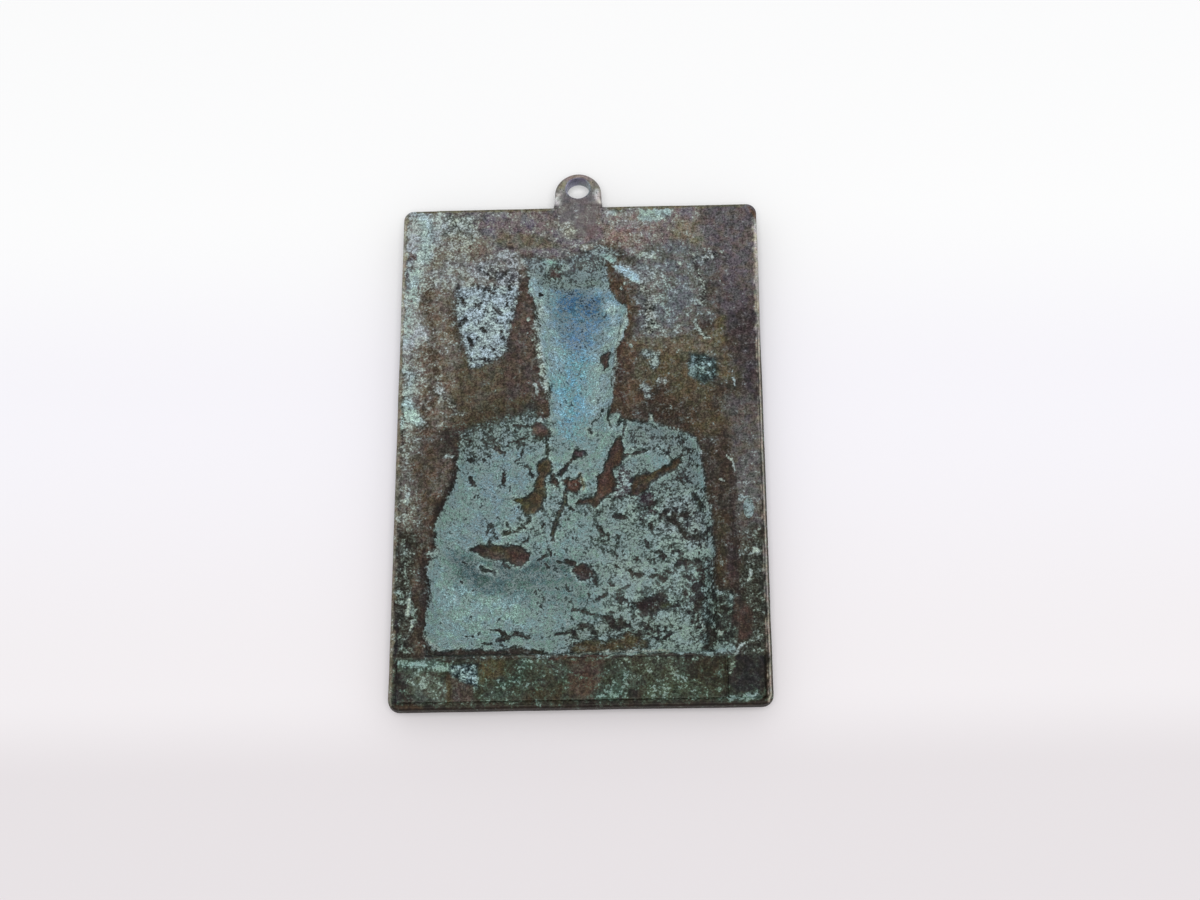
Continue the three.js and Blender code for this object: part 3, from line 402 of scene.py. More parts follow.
# Marks where the ridges of the hollow are rubbed through to brown
BARE = [
    area([(-5.4, 33.4), (-3, 33.6), (-3.2, 31.4), (-4, 30.8), (-5, 31.6)], 0.5, 0.15, (76, 66, 64)),
    area([(3.4, 16.4), (4.2, 17.4), (5, 17.2), (4.8, 15.4), (4.1, 13.8), (3.5, 15)], 0.25, -0.2,
         (76, 64, 56)),
    area([(-8.1, 4.2), (-6.4, 4.6), (-4.9, 3.3), (-4.9, 2.1), (-6.4, 1.6), (-8, 2.6)], 0.3, -0.3,
         (68, 58, 54)),
    run([(-5.3, 1.8), (-5.4, 0.6), (-5.1, -0.6), (-5.4, -1.8)], 0.28, 0.25, 0.0, (48, 50, 42)),
    area([(-6, -1.9), (-5.2, -1.7), (-4.3, -3.4), (-4.7, -4.6), (-5.6, -5.2), (-5.5, -8), (-6.1, -10.8),
          (-7.2, -12), (-8.9, -12.3), (-9.7, -10.4), (-10.7, -9.8), (-10.7, -8.8), (-8.4, -8.8),
          (-7.3, -7.6), (-6.9, -5), (-7.3, -3)], 0.28, -0.3, (70, 62, 46)),
    run([(-8.2, -12.4), (-8, -13.4), (-9.2, -14.3), (-12.2, -15.1)], 0.36, 0.25, 0.05, (52, 54, 44)),
    area([(-4.6, -3.8), (-3.8, -4.6), (-3.3, -6.4), (-4.2, -7.8), (-4.9, -6)], 0.3, 0.15, (66, 54, 47)),
    run([(-11.8, -13.2), (-11.1, -14.4)], 0.15, 0.22, 0.1, DEEP),
    area([(-1.4, -1), (-0.6, -0.3), (0.8, -0.6), (0.9, -1.8), (0.1, -2.2), (-1, -1.9)], 0.28, -0.2,
         (66, 54, 62)),
    run([(-1.1, -2.1), (-2.2, -3.5), (-3.4, -4.8)], 0.36, 0.25, -0.1, (66, 50, 46)),
    area([(-3.2, -5.8), (-2, -5.4), (-1.4, -5.9), (-0.2, -4.8), (0.2, -6.2), (0.9, -7), (-0.2, -7.4),
          (-0.6, -8.4), (-2, -7.8), (-2.7, -8.6), (-2.4, -7)], 0.3, -0.1, (74, 56, 49)),
    run([(-0.3, -5), (0.4, -6.2), (0.4, -7.6)], 0.2, 0.25, 0.5, (52, 50, 40), (150, 141, 106)),
    run([(-2.6, -8.2), (-2.6, -10), (-3.4, -12.2), (-4.1, -14.4), (-4.4, -16.4)], 0.36, 0.2, -0.1,
        (74, 70, 56)),
    area([(0, -9.4), (1.9, -9.1), (3, -7.4), (2.6, -5.2), (3.9, -4.4), (4, -2.6), (5, -0.4), (6.3, 1.9),
          (7.1, 1.9), (7.3, -0.8), (6.8, -3), (5.9, -3.4), (5.2, -4.8), (5.8, -6.6), (5.2, -8.2),
          (3.9, -9.2), (2.6, -11), (1.6, -10.2), (-0.8, -10.5)], 0.3, -0.3, (68, 54, 45)),
    run([(7.2, -1.8), (9, -1.4), (10.8, -0.8)], 0.3, 0.25, -0.05, (72, 62, 60)),
    run([(8.3, -0.5), (10, -0.6)], 0.2, 0.25, 0.15, (84, 62, 62)),
    run([(3.8, 6.6), (2.9, 5.2), (1.9, 4.1)], 0.15, 0.22, 0.0, DEEP),
    run([(1.3, 3), (2, 2.3)], 0.25, 0.25, 0.2, (84, 78, 84)),
    run([(4.8, 6.8), (4.5, 5.2), (5, 4.2), (5, 3.2)], 0.28, 0.25, 0.0, (50, 52, 44)),
    run([(6.5, 5.2), (6.6, 4.2), (6.1, 3.8)], 0.2, 0.25, 0.1, DEEP),
    run([(7.4, 4.2), (7, 2.8), (6.9, 2)], 0.25, 0.25, 0.0, (56, 50, 50)),
    area([(14.9, -2.3), (16.4, -2.3), (16.2, -3.5), (15, -4.6), (12.6, -5.7), (11.4, -6.7), (11, -7.8),
          (9.4, -9), (8.2, -8.8), (8.3, -6.5), (8.2, -5.9), (10.6, -5.1), (12.4, -4.6), (14.4, -3.6)], 0.28,
         -0.3, (66, 56, 44)),
    run([(12.5, 0.2), (13.4, -0.9), (14.6, -2.2)], 0.2, 0.25, 0.0, (60, 62, 58)),
    area([(9.2, -8.7), (11.3, -7.9), (12.5, -9.4), (11.9, -11.4), (9.7, -11.1)], 0.45, 0.12, (58, 50, 54)),
    run([(9.8, -12.6), (11.8, -11.9)], 0.5, 0.5, 0.15, (62, 56, 60)),
    run([(18.2, -8.8), (18.9, -10.4), (19.5, -11.8)], 0.3, 0.25, -0.1, (58, 54, 42)),
    area([(-18, -17.7), (-15.8, -17), (-13.4, -17.2), (-10.8, -17), (-9.4, -17.6), (-7.9, -18.9),
          (-8.6, -20.5), (-9.6, -21.2), (-11.2, -20.1), (-14, -19.8), (-16.2, -18.9)], 0.3, -0.3,
         (61, 53, 45)),
    run([(-16, -20.9), (-15.2, -21.6), (-13.8, -21.9)], 0.3, 0.25, 0.0, (48, 58, 58)),
    area([(-1.5, -21.6), (0.2, -20.3), (1.8, -21.2), (2.5, -22.5), (1, -23.6), (-0.2, -23.7)], 0.3, -0.2,
         (56, 48, 47)),
    area([(8.2, -27.4), (10.6, -26.5), (13, -25.6), (14.2, -27.6), (15.1, -28.5), (12.6, -28.8),
          (12.2, -29.8), (9.4, -29.2)], 0.5, -0.05, (40, 38, 35)),
    area([(-2.2, -35.9), (-1.2, -34.2), (1.6, -33.1), (3.8, -33.8), (6.2, -33.1), (7.4, -32.2), (10.8, -34),
          (10.6, -35.2), (4, -35.9)], 0.5, 0.0, (74, 68, 50)),
    area([(-24.4, -34.9), (-22, -35.3), (-19.6, -34.4), (-13.6, -35.2), (-10, -34.4), (-6, -35.3),
          (-4.6, -36.1), (-24.4, -36.3)], 0.35, -0.05, (56, 50, 44)),
]
# Tones within the largest marks: points, reach, softness, tone
BARE_TONES = [
    ([(-17, -17.9), (-15.6, -18)], 0.4, 0.4, (46, 42, 40)),
    ([(-14, -17.8), (-12.4, -18.2)], 0.4, 0.6, (70, 70, 50)),
    ([(-10.8, -18.6), (-9, -19.6)], 0.5, 0.5, (66, 48, 44)),
    ([(-10, -20.4), (-9.4, -20.9)], 0.3, 0.3, (44, 42, 40)),
    ([(-9.8, -9.4), (-8.6, -10.6)], 0.5, 0.6, (66, 68, 46)),
    ([(-6.4, -3.4), (-6.2, -6.4)], 0.3, 0.5, (74, 62, 46)),
    ([(-8.4, -11.6), (-7.8, -10.4)], 0.3, 0.4, (50, 52, 42)),
    ([(3.4, -7.2), (4.6, -4.2)], 0.4, 0.5, (78, 59, 51)),
    ([(5.4, -1.6), (6.6, 1)], 0.3, 0.4, (62, 50, 44)),
    ([(1.8, -9.9), (2.6, -10.4)], 0.3, 0.4, (56, 50, 40)),
    ([(13.6, -4.2), (10, -6.8)], 0.3, 0.4, (72, 64, 46)),
    ([(9, -8.2), (9.8, -7.2)], 0.3, 0.4, (50, 42, 42)),
    ([(9.8, -27.9), (11.6, -27.5)], 0.6, 0.8, (42, 33, 35)),
    ([(13, -28), (14.2, -28)], 0.3, 0.4, (52, 54, 36)),
]
# Small dark marks on the crust, by their reach
NICKS = {
    0.12: [[(-17, -32.6), (-15.8, -31.8)], [(2, 27.4), (2.3, 27)]],
    0.15: [[(-13.8, 1.6), (-13, 1.8)], [(-9.2, -0.2), (-9.6, -1.8), (-10.8, -2.2)],
        [(-18.6, -20), (-18, -20.4)], [(-15.6, -33.9), (-14, -34)]],
    0.2: [[(-17.2, 30.4), (-17, 29.9)], [(-16.4, 16.6), (-15.8, 16.4)], [(-12.6, 27.6), (-12.2, 26.4)],
        [(-14, 35.2), (-13.4, 34.6)], [(-11.6, 1), (-8.6, 1.8)], [(-9.2, -3), (-8.2, -4), (-7.6, -5.4)],
        [(-14.3, -13.6), (-13.2, -16.4)], [(-9, -17), (-8.5, -16.2)], [(-19.2, -23.2), (-18.6, -24)],
        [(-4.7, -18.4), (-4.6, -19.2)], [(-2.1, -24.2), (-2, -25.4), (-1.3, -25.4)],
        [(-18, -32.5), (-16.6, -32.9)], [(9.8, -31), (10.2, -31.4)], [(4, 24.4), (4.2, 24)]],
    0.25: [[(-17.9, 27), (-17.1, 26.2)], [(-16.2, 22.4), (-15.4, 21.6)], [(-14.8, 18.8), (-14.2, 18.4)],
        [(-20.8, 30.6), (-20.6, 30)], [(-10.8, 4), (-8.8, 4)], [(-3.7, -6.9), (-3.4, -7.4)],
        [(-1.6, -11), (-0.8, -11.6)], [(-23.2, -15.2), (-23, -15.6)], [(-5.6, -20.8), (-5.3, -21.2)],
        [(-3.5, -20.4), (-3, -20.6)], [(2.2, -23), (2.5, -23.9)], [(11.6, -21.8), (11.9, -22)],
        [(7.2, -27.2), (7.5, -27.8)], [(-14.2, -31.6), (-11.8, -31.9)], [(-12.5, -34.2), (-11.6, -34.7)],
        [(-3.8, -32.4), (-2, -32.4)], [(0, 33.2), (0.2, 33)]],
    0.28: [[(-19.9, 28), (-19.3, 26.6)], [(-1, -28.6), (0.9, -29), (4, -29.7)]],
    0.3: [[(-14.3, 26), (-13.2, 24.6)], [(-15.2, 29.4), (-14.4, 29.1)], [(-12, 30.4), (-11.6, 29.5)],
        [(-13.2, 21.4), (-12.8, 20.4)], [(-18.6, 20.2), (-18, 19.2)], [(-15.8, 32.6), (-15.2, 31.6)],
        [(-13.4, 33.2), (-12.6, 32.4)], [(-12.1, -4.8), (-12.4, -6.4)], [(-18, -1.9), (-17.6, -2.2)],
        [(-16, 1.6), (-15.6, 0.8)], [(-14.6, -16.4), (-14.2, -17)], [(-6.4, -19.7), (-5.2, -19.3)],
        [(10.8, -23.2), (12.4, -22.9), (13.5, -23.9)], [(15, -28.1), (16, -29)],
        [(6, -30.4), (7.5, -31.5)], [(4.8, -29), (5.1, -29.3)], [(3, -26.6), (3.8, -26.2)],
        [(7, -25.2), (7.6, -24.6)], [(-1.4, -32.2), (-0.7, -33)], [(10.6, -33), (11, -33.3)],
        [(13, -33.4), (14.2, -32.8)], [(17.4, -30.6), (17.8, -31.2)], [(21, -26.6), (21.2, -27.2)],
        [(-6.7, 28.6), (-6.3, 28.4)]],
    0.35: [[(-19.2, 24.2), (-19.9, 22.8)], [(-12.2, -20.5), (-11.2, -21.2)],
        [(15.6, -18.8), (16, -20), (15.5, -21.4)], [(10.5, -17), (11, -18)], [(16.6, -20.8), (19.6, -21)],
        [(8.9, -22.7), (9.8, -22.9)], [(0, -31.4), (1.6, -31.2), (2.3, -32.6)]],
    0.4: [[(-13.8, 0.3), (-12.6, -1)], [(-14.3, -13.6), (-14.9, -14.9)], [(5.6, -12.4), (7, -12.5)],
        [(13, -12.4), (14, -11.8)], [(19.8, -16), (20.6, -15)], [(12.4, -18.8), (13.4, -19.7)],
        [(16.8, -23.1), (17.1, -23.4)], [(-12.2, -32.2), (-11.2, -33), (-13, -33.3)]],
    0.45: [[(-17.8, -5.2), (-17.2, -6.6)], [(-2.2, -20), (-1, -20.6)], [(2.8, -14), (3.6, -15.6)],
        [(4.6, -30.1), (5.5, -31.5), (6.2, -31.5)], [(-10.2, -32.5), (-8.1, -33.2)],
        [(20.2, -31.2), (20.6, -34.4), (19.6, -35.4)]],
    0.5: [[(14.6, -13.2), (16, -14.4), (17, -16.5), (19.6, -16.8)]],
    0.55: [[(15.4, -12.2), (17.2, -12.4)]],
    0.6: [[(18.4, -24.8), (18.9, -27.4), (18.2, -28.8)]],
}
# Small pale flecks, by their reach
FLECKS = {
    0.12: [[(8.9, 20.6), (9, 20.5)], [(7.4, 30.4), (7.5, 30.2)], [(-8.6, 21.4), (-8.8, 21.1)],
        [(-10.8, 13.2), (-10.7, 13)], [(9.6, -8.8), (9.9, -8.3)], [(-2.1, -30.2), (-2.1, -30.8)]],
    0.14: [[(21.5, -32.2), (22.1, -33)]],
    0.15: [[(-0.2, -6), (0.1, -6.9)], [(18.9, -30.2), (19.6, -31.6), (20, -33)],
        [(3.2, -34.3), (3.8, -34.6)], [(-24.8, -32.4), (-23, -34), (-22, -35)], [(16.6, 34), (17, 33.4)],
        [(23.8, 36), (23.9, 35.8)]],
    0.2: [[(-6.6, 14.8), (-6.2, 13.4)], [(24.3, -36.4), (25, -35), (25.6, -34.6)],
        [(23.8, -2), (24.6, -3.4), (24.8, -5)], [(27, -22.4), (26.6, -24)], [(-22.2, -1.4), (-20.8, -1.2)]],
    0.22: [[(6.8, 29.2), (7, 28.9)], [(-8.6, 23.9), (-8.5, 23.6)]],
    0.25: [[(8.5, 18.4), (8.7, 18.3)], [(-5.9, 12.2), (-5.4, 11)], [(11.3, 5.6), (11.6, 4.6)],
        [(22.8, -6.2), (23.2, -6.6)], [(-26.6, -30), (-26.8, -31.6)]],
    0.3: [[(-7.3, 11.4), (-6.9, 10)], [(-6.8, 5.2), (-6.2, 4.8)], [(-27.6, -8), (-28, -9.4)],
        [(-27, -26), (-27.4, -29)]],
    0.4: [[(27.6, -18.6), (28.4, -19.2)]],
}
FOOT_DETAILS = [
    area([(-29, -36.6), (-22, -36.7), (-18, -38.4), (-20.4, -38.8), (-23, -38.2), (-27.6, -38)], 0.6, 0.66,
         (66, 80, 72), (106, 132, 121)),
    area([(-20.4, -37.6), (-18, -37.2), (-16.1, -37.5), (-16, -41.4), (-17.6, -40.6), (-19.8, -39.2)], 0.35,
         0.5, (22, 40, 46), (140, 164, 163)),
    area([(-27.6, -38.4), (-22, -38.6), (-20.6, -41), (-21.4, -44), (-26, -44)], 1.1, 0.46, (80, 88, 78),
         (110, 123, 112)),
    area([(-29.4, -37.4), (-28.6, -37.4), (-27, -40), (-25.4, -43.6), (-26.6, -44.6), (-29.4, -44.6)], 0.7,
         0.12, (48, 47, 42)),
    area([(-20.2, -39.2), (-17, -41), (-16.6, -43.8), (-20, -43.8)], 0.7, 0.16, (72, 65, 60),
         (104, 108, 100)),
    run([(-20.6, -39.2), (-20.4, -43.2)], 0.4, 0.4, 0.0, (70, 60, 42)),
    area([(-16, -36.6), (-12, -36.8), (-11.6, -39.6), (-15.6, -40)], 0.8, 0.08, (74, 70, 48)),
    run([(-12.4, -40.4), (-10, -39.2), (-8, -38)], 0.7, 0.9, 0.4, (52, 64, 54), (74, 98, 86)),
    run([(-14, -42.4), (-10.4, -42.6)], 0.8, 1.0, 0.45, (62, 72, 62), (88, 104, 92)),
    area([(-8, -41.4), (-3, -41), (-3, -44.4), (-9, -44.4)], 0.8, 0.1, (56, 52, 38)),
    area([(-7, -36.8), (-2, -36.6), (-3, -40), (-7, -40.6)], 0.9, 0.3, (66, 66, 56)),
    area([(-1.6, -36.6), (4, -36.6), (3, -41), (2, -44), (-1.6, -43)], 0.7, 0.08, (72, 60, 52)),
    run([(4, -42.6), (6.6, -42.2), (7, -40.6)], 0.8, 1.0, 0.54, (58, 70, 60), (82, 108, 94)),
    run([(8.4, -42.4), (9.2, -43.8)], 0.5, 0.5, 0.0, (44, 38, 34)),
    area([(5, -36.8), (14, -37), (15, -41), (8, -41.4)], 1.0, 0.36, (60, 62, 50), (90, 102, 86)),
    area([(11, -41.6), (19, -39.6), (22, -42), (19, -44), (11, -44)], 1.0, 0.4, (60, 66, 50),
         (86, 102, 86)),
    area([(16.6, -38.6), (19, -37), (23.6, -37.4), (23, -41), (17, -41.4)], 0.8, 0.1, (50, 48, 36)),
    # Along the top edge of the foot's strip: a dark line in the joint, deepened by painted shadow, and a
    # painted highlight on the ledge just above it
    run([(5, -36.5), (14, -36.4), (20, -36.8)], 0.22, 0.2, -0.1, (46, 42, 36)),
    run([(-1, -35.9), (8, -35.5), (13.6, -35.8)], 0.14, 0.22, 0.9, None, (146, 146, 128)),
    run([(-4.6, -36.6), (4, -36.3)], 0.16, 0.2, -0.1, (62, 46, 38)),
    area([(22.8, -38.6), (24, -36.9), (25, -36.4), (28.8, -36.6), (29.2, -42), (27.6, -42.6), (24.6, -42.4),
          (23, -41.4)], 0.4, -0.05, SOOT),
    run([(23.4, -43.6), (27.6, -43.4)], 0.5, 0.5, 0.75, (48, 52, 44), (98, 118, 108)),
    run([(23.2, -39.6), (23.8, -37.6)], 0.4, 0.5, 0.5, (54, 56, 46), (110, 122, 108)),
    # Painted shade along the foot: darker towards the bottom edge and on its rounding, which faces the camera
    run([(-28, -43.9), (20, -44)], 0.3, 0.6, 0.12, (48, 45, 37)),
    area(rectangle(-31, -47, 31, -44.3), 0.2, -0.1, (34, 27, 21)),
]
EDGE_DETAILS = [
    area(rectangle(-31, -46, -29.4, 47), 0.12, 0.22, (118, 113, 100), (136, 136, 126)),
    area(rectangle(-31, 20, -29.5, 47), 0.2, 0.3, (158, 156, 145), (166, 168, 158)),
    run([(-29.2, 42), (-29.15, 10)], 0.1, 0.3, None, (78, 76, 70)),
    run([(-29.15, 10), (-29, -30)], 0.12, 0.3, 0.1, (48, 45, 40)),
    run([(-28.95, -30), (-28.8, -38), (-28.7, -43.6)], 0.22, 0.35, -0.1, (38, 33, 36)),
    run([(-28.6, -44.1), (-25, -44.4)], 0.25, 0.4, -0.1, (56, 40, 28)),
    *(area(rectangle(left, 44.72, right, 46.4), 0.12, 0.1, (104, 100, 82), (124, 124, 108))
      for left, right in ((-28, -4.8), (4.6, 28))),
    # A painted highlight along the right lip, brightest towards its top
    area(rectangle(29.2, -46, 31, 43), 0.14, 0.2, (164, 160, 151), (172, 170, 163)),
    area(rectangle(29.4, 33, 31, 43), 0.25, 0.0, (188, 185, 180)),
    run([(28.8, 44.3), (29.6, 43), (29.9, 41.6)], 0.25, 0.3, 0.0, (104, 80, 66)),
    run([(29, 24), (29, 8)], 0.08, 0.25, 0.0, (62, 56, 54)),
    run([(29, -4), (29.05, -36)], 0.1, 0.25, -0.1, (54, 50, 46)),
    run([(29.05, -36), (29.05, -43.4), (28, -44.4)], 0.2, 0.25, -0.1, (36, 27, 20)),
    run([(-28.3, -16.4), (-28.2, -19.6), (-27.7, -23)], 0.3, 0.5, 0.64, None, (112, 124, 114)),
    run([(-28.9, -25), (-28.2, -26.6)], 0.4, 0.5, 0.7, None, (124, 142, 132)),
    run([(-27, -25.4), (-26.6, -27.6), (-26.3, -29.6)], 0.4, 0.45, 0.7, None, (106, 122, 112)),
    run([(-27.2, -18), (-26.8, -22)], 0.5, 0.6, 0.4, None, (94, 98, 86)),
    run([(-28.6, -32.4), (-27.6, -34.8)], 0.5, 0.5, 0.5, None, (98, 114, 102)),
    run([(-24.9, -18), (-25, -33)], 0.4, 0.4, -0.1, (48, 42, 38)),
    run([(24.7, -12), (24.9, -28)], 0.25, 0.3, -0.1, (42, 37, 35)),
    area([(24.2, -26.6), (26.4, -28), (27, -30), (26.9, -33.4), (25.2, -34), (24, -31)], 0.4, -0.1,
         (58, 48, 43)),
    run([(25.4, -9.6), (26.8, -9.6), (27.6, -12)], 0.3, 0.4, 0.8, None, (122, 136, 134)),
    run([(-28.8, 36.2), (-27.9, 36.4)], 0.2, 0.4, 0.1, (92, 82, 78)),
]


def marks(groups, look):
    """Rows of paint for marks that are listed by their reach."""
    return [run(points, reach, **look) for reach, group in groups.items() for points in group]


def ringed(row):
    """A mark with a pale edge outside, a dark rim, and its own tone further in."""
    edge = {**row, "reach": row["reach"] + MARK_EDGE, "cover": None, "metal": None, "crust": MARK_EDGE_CRUST}
    return [edge, {**row, "metal": DEEP}, {**row, "reach": row["reach"] - MARK_RIM, "cover": None}]


# Painted shade round the crust of the body, where the hollow's wall falls away: a wide shade and a dark line
# round it, and darker runs of painted shadow beside it
ROUND_BODY = BODY_CRUST + BODY_CRUST[:1]
BODY_SHADE = [
    run(ROUND_BODY, 0.7, 1.5, None, (56, 48, 40)),
    run(ROUND_BODY, 0.3, 0.35, None, (42, 46, 44)),
    run([(-20.4, 1), (-20.3, -3), (-20.9, -6.8), (-22.5, -10.2), (-23.8, -13.2), (-24, -16.4)], 0.55, 0.4,
        -0.1, (38, 33, 29)),
    run([(-24.2, -19), (-24.6, -23), (-24.4, -26), (-25.3, -30), (-25.4, -32.6)], 0.4, 0.4, -0.1,
        (42, 36, 32)),
    area([(-20.5, -1), (-19, 4), (-12.6, 8), (-8, 8.4), (-8, 4), (-14, 2)], 1.2, 0.3, (62, 64, 58),
         (96, 112, 108)),
    run([(-24.9, 30), (-24.6, 0), (-25.4, -20)], 0.3, 1.2, None, (70, 60, 50)),
]
# The lug's own paint, with painted highlights on its crown and on its polished flanks
LUG_PAINT = [
    run([(-3.2, 49.2), (-2.8, 50)], 0.6, 0.6, 0.0, (146, 140, 116)),
    # Painted highlight on the crown
    run([(-2.4, 51), (0, 51.6), (2, 51)], 0.4, 0.5, 0.0, (156, 140, 135)),
    run([(-1.8, 50.4), (0, 51), (1.4, 50.6)], 0.12, 0.3, None, (88, 76, 76)),
    run([(2, 50), (2.9, 48.6)], 0.4, 0.5, 0.0, (136, 132, 118)),
    # Painted highlights down the polished flanks, left then right
    run([(-3.2, 48.6), (-3.6, 46.4)], 0.4, 0.4, None, (150, 147, 142)),
    run([(-3.6, 47.8), (-4.1, 46)], 0.3, 0.4, 0.0, (212, 211, 208)),
    run([(2.7, 48.4), (3, 46.2)], 0.4, 0.4, None, (158, 156, 154)),
    run([(2.9, 48.4), (3.3, 46.2)], 0.34, 0.4, 0.0, (212, 211, 209)),
    run([(3.7, 48.6), (3.7, 47)], 0.08, 0.15, None, (104, 96, 92)),
    run([(-2.4, 46.4), (2, 46.2)], 0.6, 0.6, 0.0, (108, 103, 107)),
    run([(-4.4, 45.3), (4.2, 45.3)], 0.15, 0.4, 0.0, (74, 70, 70)),
]

# The photo's camera in the plaque's plan: its place above the outline's plane and its directions
CAMERA_PLACE = (15.906, -175.579, 366.296)
CAMERA_RIGHT = (0.99931764, -0.00434641, -0.03667925)
CAMERA_DOWN = (-0.01971755, -0.90249108, -0.43025698)
CAMERA_FORWARD = (-0.03123263, 0.43068661, -0.90196096)
OUTLINE_LEVEL = 4.2

# Lumps: the size of the table of random values, and where in it the plaque's middle lies
LUMP_TABLE, LUMP_START = 256, (97.3, 61.7)
# Specks: the angles that they lean at, the shortest, the thinnest as a share, and the margin inside
# an outline
SPECK_LEAN, SHORTEST_SPECK, THINNEST_SHARE, SPECK_MARGIN = (-1.9, -0.6), 0.2, 0.4, 0.2
# How far the edges of paint wander, the size of the lumps, the seed and the octaves. Rows softer than
# WIDE_SOFT wander widely.
RAGGED_X, RAGGED_Y = [(0.34, 1.3, 51), (0.2, 0.55, 53)], [(0.34, 1.3, 55), (0.2, 0.55, 57)]
WANDER_X, WANDER_Y, WIDE_SOFT = (2.4, 5.0, 151, 3), (2.4, 5.0, 161, 3), 0.9


def smoothstep(value, low, high):
    part = np.clip((value - low) / (high - low), 0, 1)
    return part * part * (3 - 2 * part)


def bump(out):
    """1 on its line, level there, and 0 at its radius and beyond."""
    return np.maximum(0, 1 - out * out) ** 2


def soft_max(a, b, softness):
    part = np.clip(0.5 + (a - b) / (2 * softness), 0, 1)
    below = np.minimum(1, np.maximum(a, b) / softness)
    return b + (a - b) * part + softness * below * part * (1 - part)


def run_distance(x, y, points):
    """Distance from each place to a run of straight stretches."""
    nearest = np.full(np.shape(x), np.inf)
    for (ax, ay), (bx, by) in zip(points, points[1:]):
        dx, dy = bx - ax, by - ay
        part = np.clip(((x - ax) * dx + (y - ay) * dy) / (dx * dx + dy * dy), 0, 1)
        nearest = np.minimum(nearest, np.hypot(x - ax - dx * part, y - ay - dy * part))
    return nearest


def inside_depth(x, y, outline):
    """How far inside a closed outline each place lies, less than zero outside it."""
    inside = np.zeros(np.shape(x), bool)
    closed = list(outline) + [outline[0]]
    for (ax, ay), (bx, by) in zip(closed, closed[1:]):
        if ay != by:
            crosses = (ay > y) != (by > y)
            inside ^= crosses & (x < (bx - ax) * (y - ay) / (by - ay) + ax)
    return np.where(inside, 1, -1) * run_distance(x, y, closed)


def lumps(x, y, cell, seed, octaves=2):
    """Smooth noise from about -1 to 1, with lumps about one cell across."""
    total, weight = 0, 0
    for octave in range(octaves):
        table = np.random.default_rng(seed + octave).uniform(-1, 1, (LUMP_TABLE, LUMP_TABLE))
        u, v = x / cell * 2**octave + LUMP_START[0], y / cell * 2**octave + LUMP_START[1]
        i, j = np.floor(u).astype(int), np.floor(v).astype(int)
        fu, fv = smoothstep(u - i, 0, 1), smoothstep(v - j, 0, 1)
        i, j, i1, j1 = (index % LUMP_TABLE for index in (i, j, i + 1, j + 1))
        low = table[i, j] * (1 - fu) + table[i1, j] * fu
        high = table[i, j1] * (1 - fu) + table[i1, j1] * fu
        total = total + (low * (1 - fv) + high * fv) * 0.5**octave
        weight += 0.5**octave
    return total / weight


def wave(x, y, far, cell, seed, octaves=2):
    """How far a surface or an edge wanders to either side."""
    return far * lumps(x, y, cell, seed, octaves)


def worn(x, y, far, cell, seed):
    """How far a surface is worn down in waves, never less than 0."""
    return far + wave(x, y, far, cell, seed)


def pits(x, y, far, cell, seed):
    """How deep the pits of a surface are, 0 between them."""
    return np.maximum(0, wave(x, y, far, cell, seed))


def scattered(seed, outline, count, longest, widest):
    """Short strokes at random places inside an outline, leaning down to the right."""
    rng = np.random.default_rng(seed)
    low, high = np.min(outline, 0), np.max(outline, 0)
    strokes = []
    while len(strokes) < count:
        x, y = rng.uniform(low, high)
        angle, length = rng.uniform(*SPECK_LEAN), rng.uniform(SHORTEST_SPECK, longest)
        reach = rng.uniform(THINNEST_SHARE, 1) * widest
        if inside_depth(x, y, outline) > SPECK_MARGIN:
            end = (x + length * math.cos(angle), y + length * math.sin(angle))
            strokes.append(run([(x, y), end], reach, **DARK_MARK))
    return strokes


# Areas of small dark specks: outline, count, longest stroke, widest reach
SPECK_AREAS = [
    (PALE_PATCH, 26, 0.9, 0.15),
    ([(-17.4, 34), (-13, 36), (-9.6, 36), (-9.6, 30.6), (-16, 30.4)], 20, 1.0, 0.14),
    ([(12.6, 3), (17, 2), (19.4, -1), (19.6, -9), (14, -8), (17, -3), (13, -0.4)], 44, 0.7, 0.12),
    ([(3, -12), (20, -10), (20.6, -34), (6, -34), (4, -22)], 90, 1.1, 0.24),
    ([(-19.4, 1), (-9, 2), (-8, -8), (-10, -14), (-22, -14)], 44, 0.8, 0.12),
    ([(-5, -9), (4, -12), (5, -30), (-8, -30), (-7, -16)], 50, 0.8, 0.14),
    ([(-22, -24), (-9, -25), (-9, -33), (-23, -33)], 26, 0.6, 0.1),
    ([(-6, 25), (5.6, 25), (4, 4), (-4, 4)], 30, 0.6, 0.1),
]
FIRST_SPECK_SEED, SPECK_SEED_STEP = 201, 2
NICK_ROWS = marks(NICKS, DARK_MARK)
BACK_PAINT = [
    *GROUNDS, *BODY_SHADE, *UPPER_DETAILS, *CRUSTS, *(part for mark in BARE for part in ringed(mark)),
    *(run(points, reach, soft, None, tone) for points, reach, soft, tone in BARE_TONES),
    *FOOT_DETAILS, *EDGE_DETAILS, *NICK_ROWS, *marks(FLECKS, PALE_MARK),
    *(speck for k, speck_area in enumerate(SPECK_AREAS)
      for speck in scattered(FIRST_SPECK_SEED + SPECK_SEED_STEP * k, *speck_area)),
]


def sight_plan(points):
    """Where the photo's line of sight through each point meets the outline's plane, a bit ragged."""
    eye = np.array(CAMERA_PLACE)
    reach = eye[2] / (eye[2] - points[:, 2] + OUTLINE_LEVEL)
    x, y = (eye[:2] + (points[:, :2] - eye[:2]) * reach[:, None]).T
    moved = [sum(wave(x, y, *ragged) for ragged in waves) for waves in (RAGGED_X, RAGGED_Y)]
    return x + moved[0], y + moved[1]


def wandering(x, y):
    """Places moved about more widely, for the soft edges of large areas."""
    return x + wave(x, y, *WANDER_X), y + wave(x, y, *WANDER_Y)


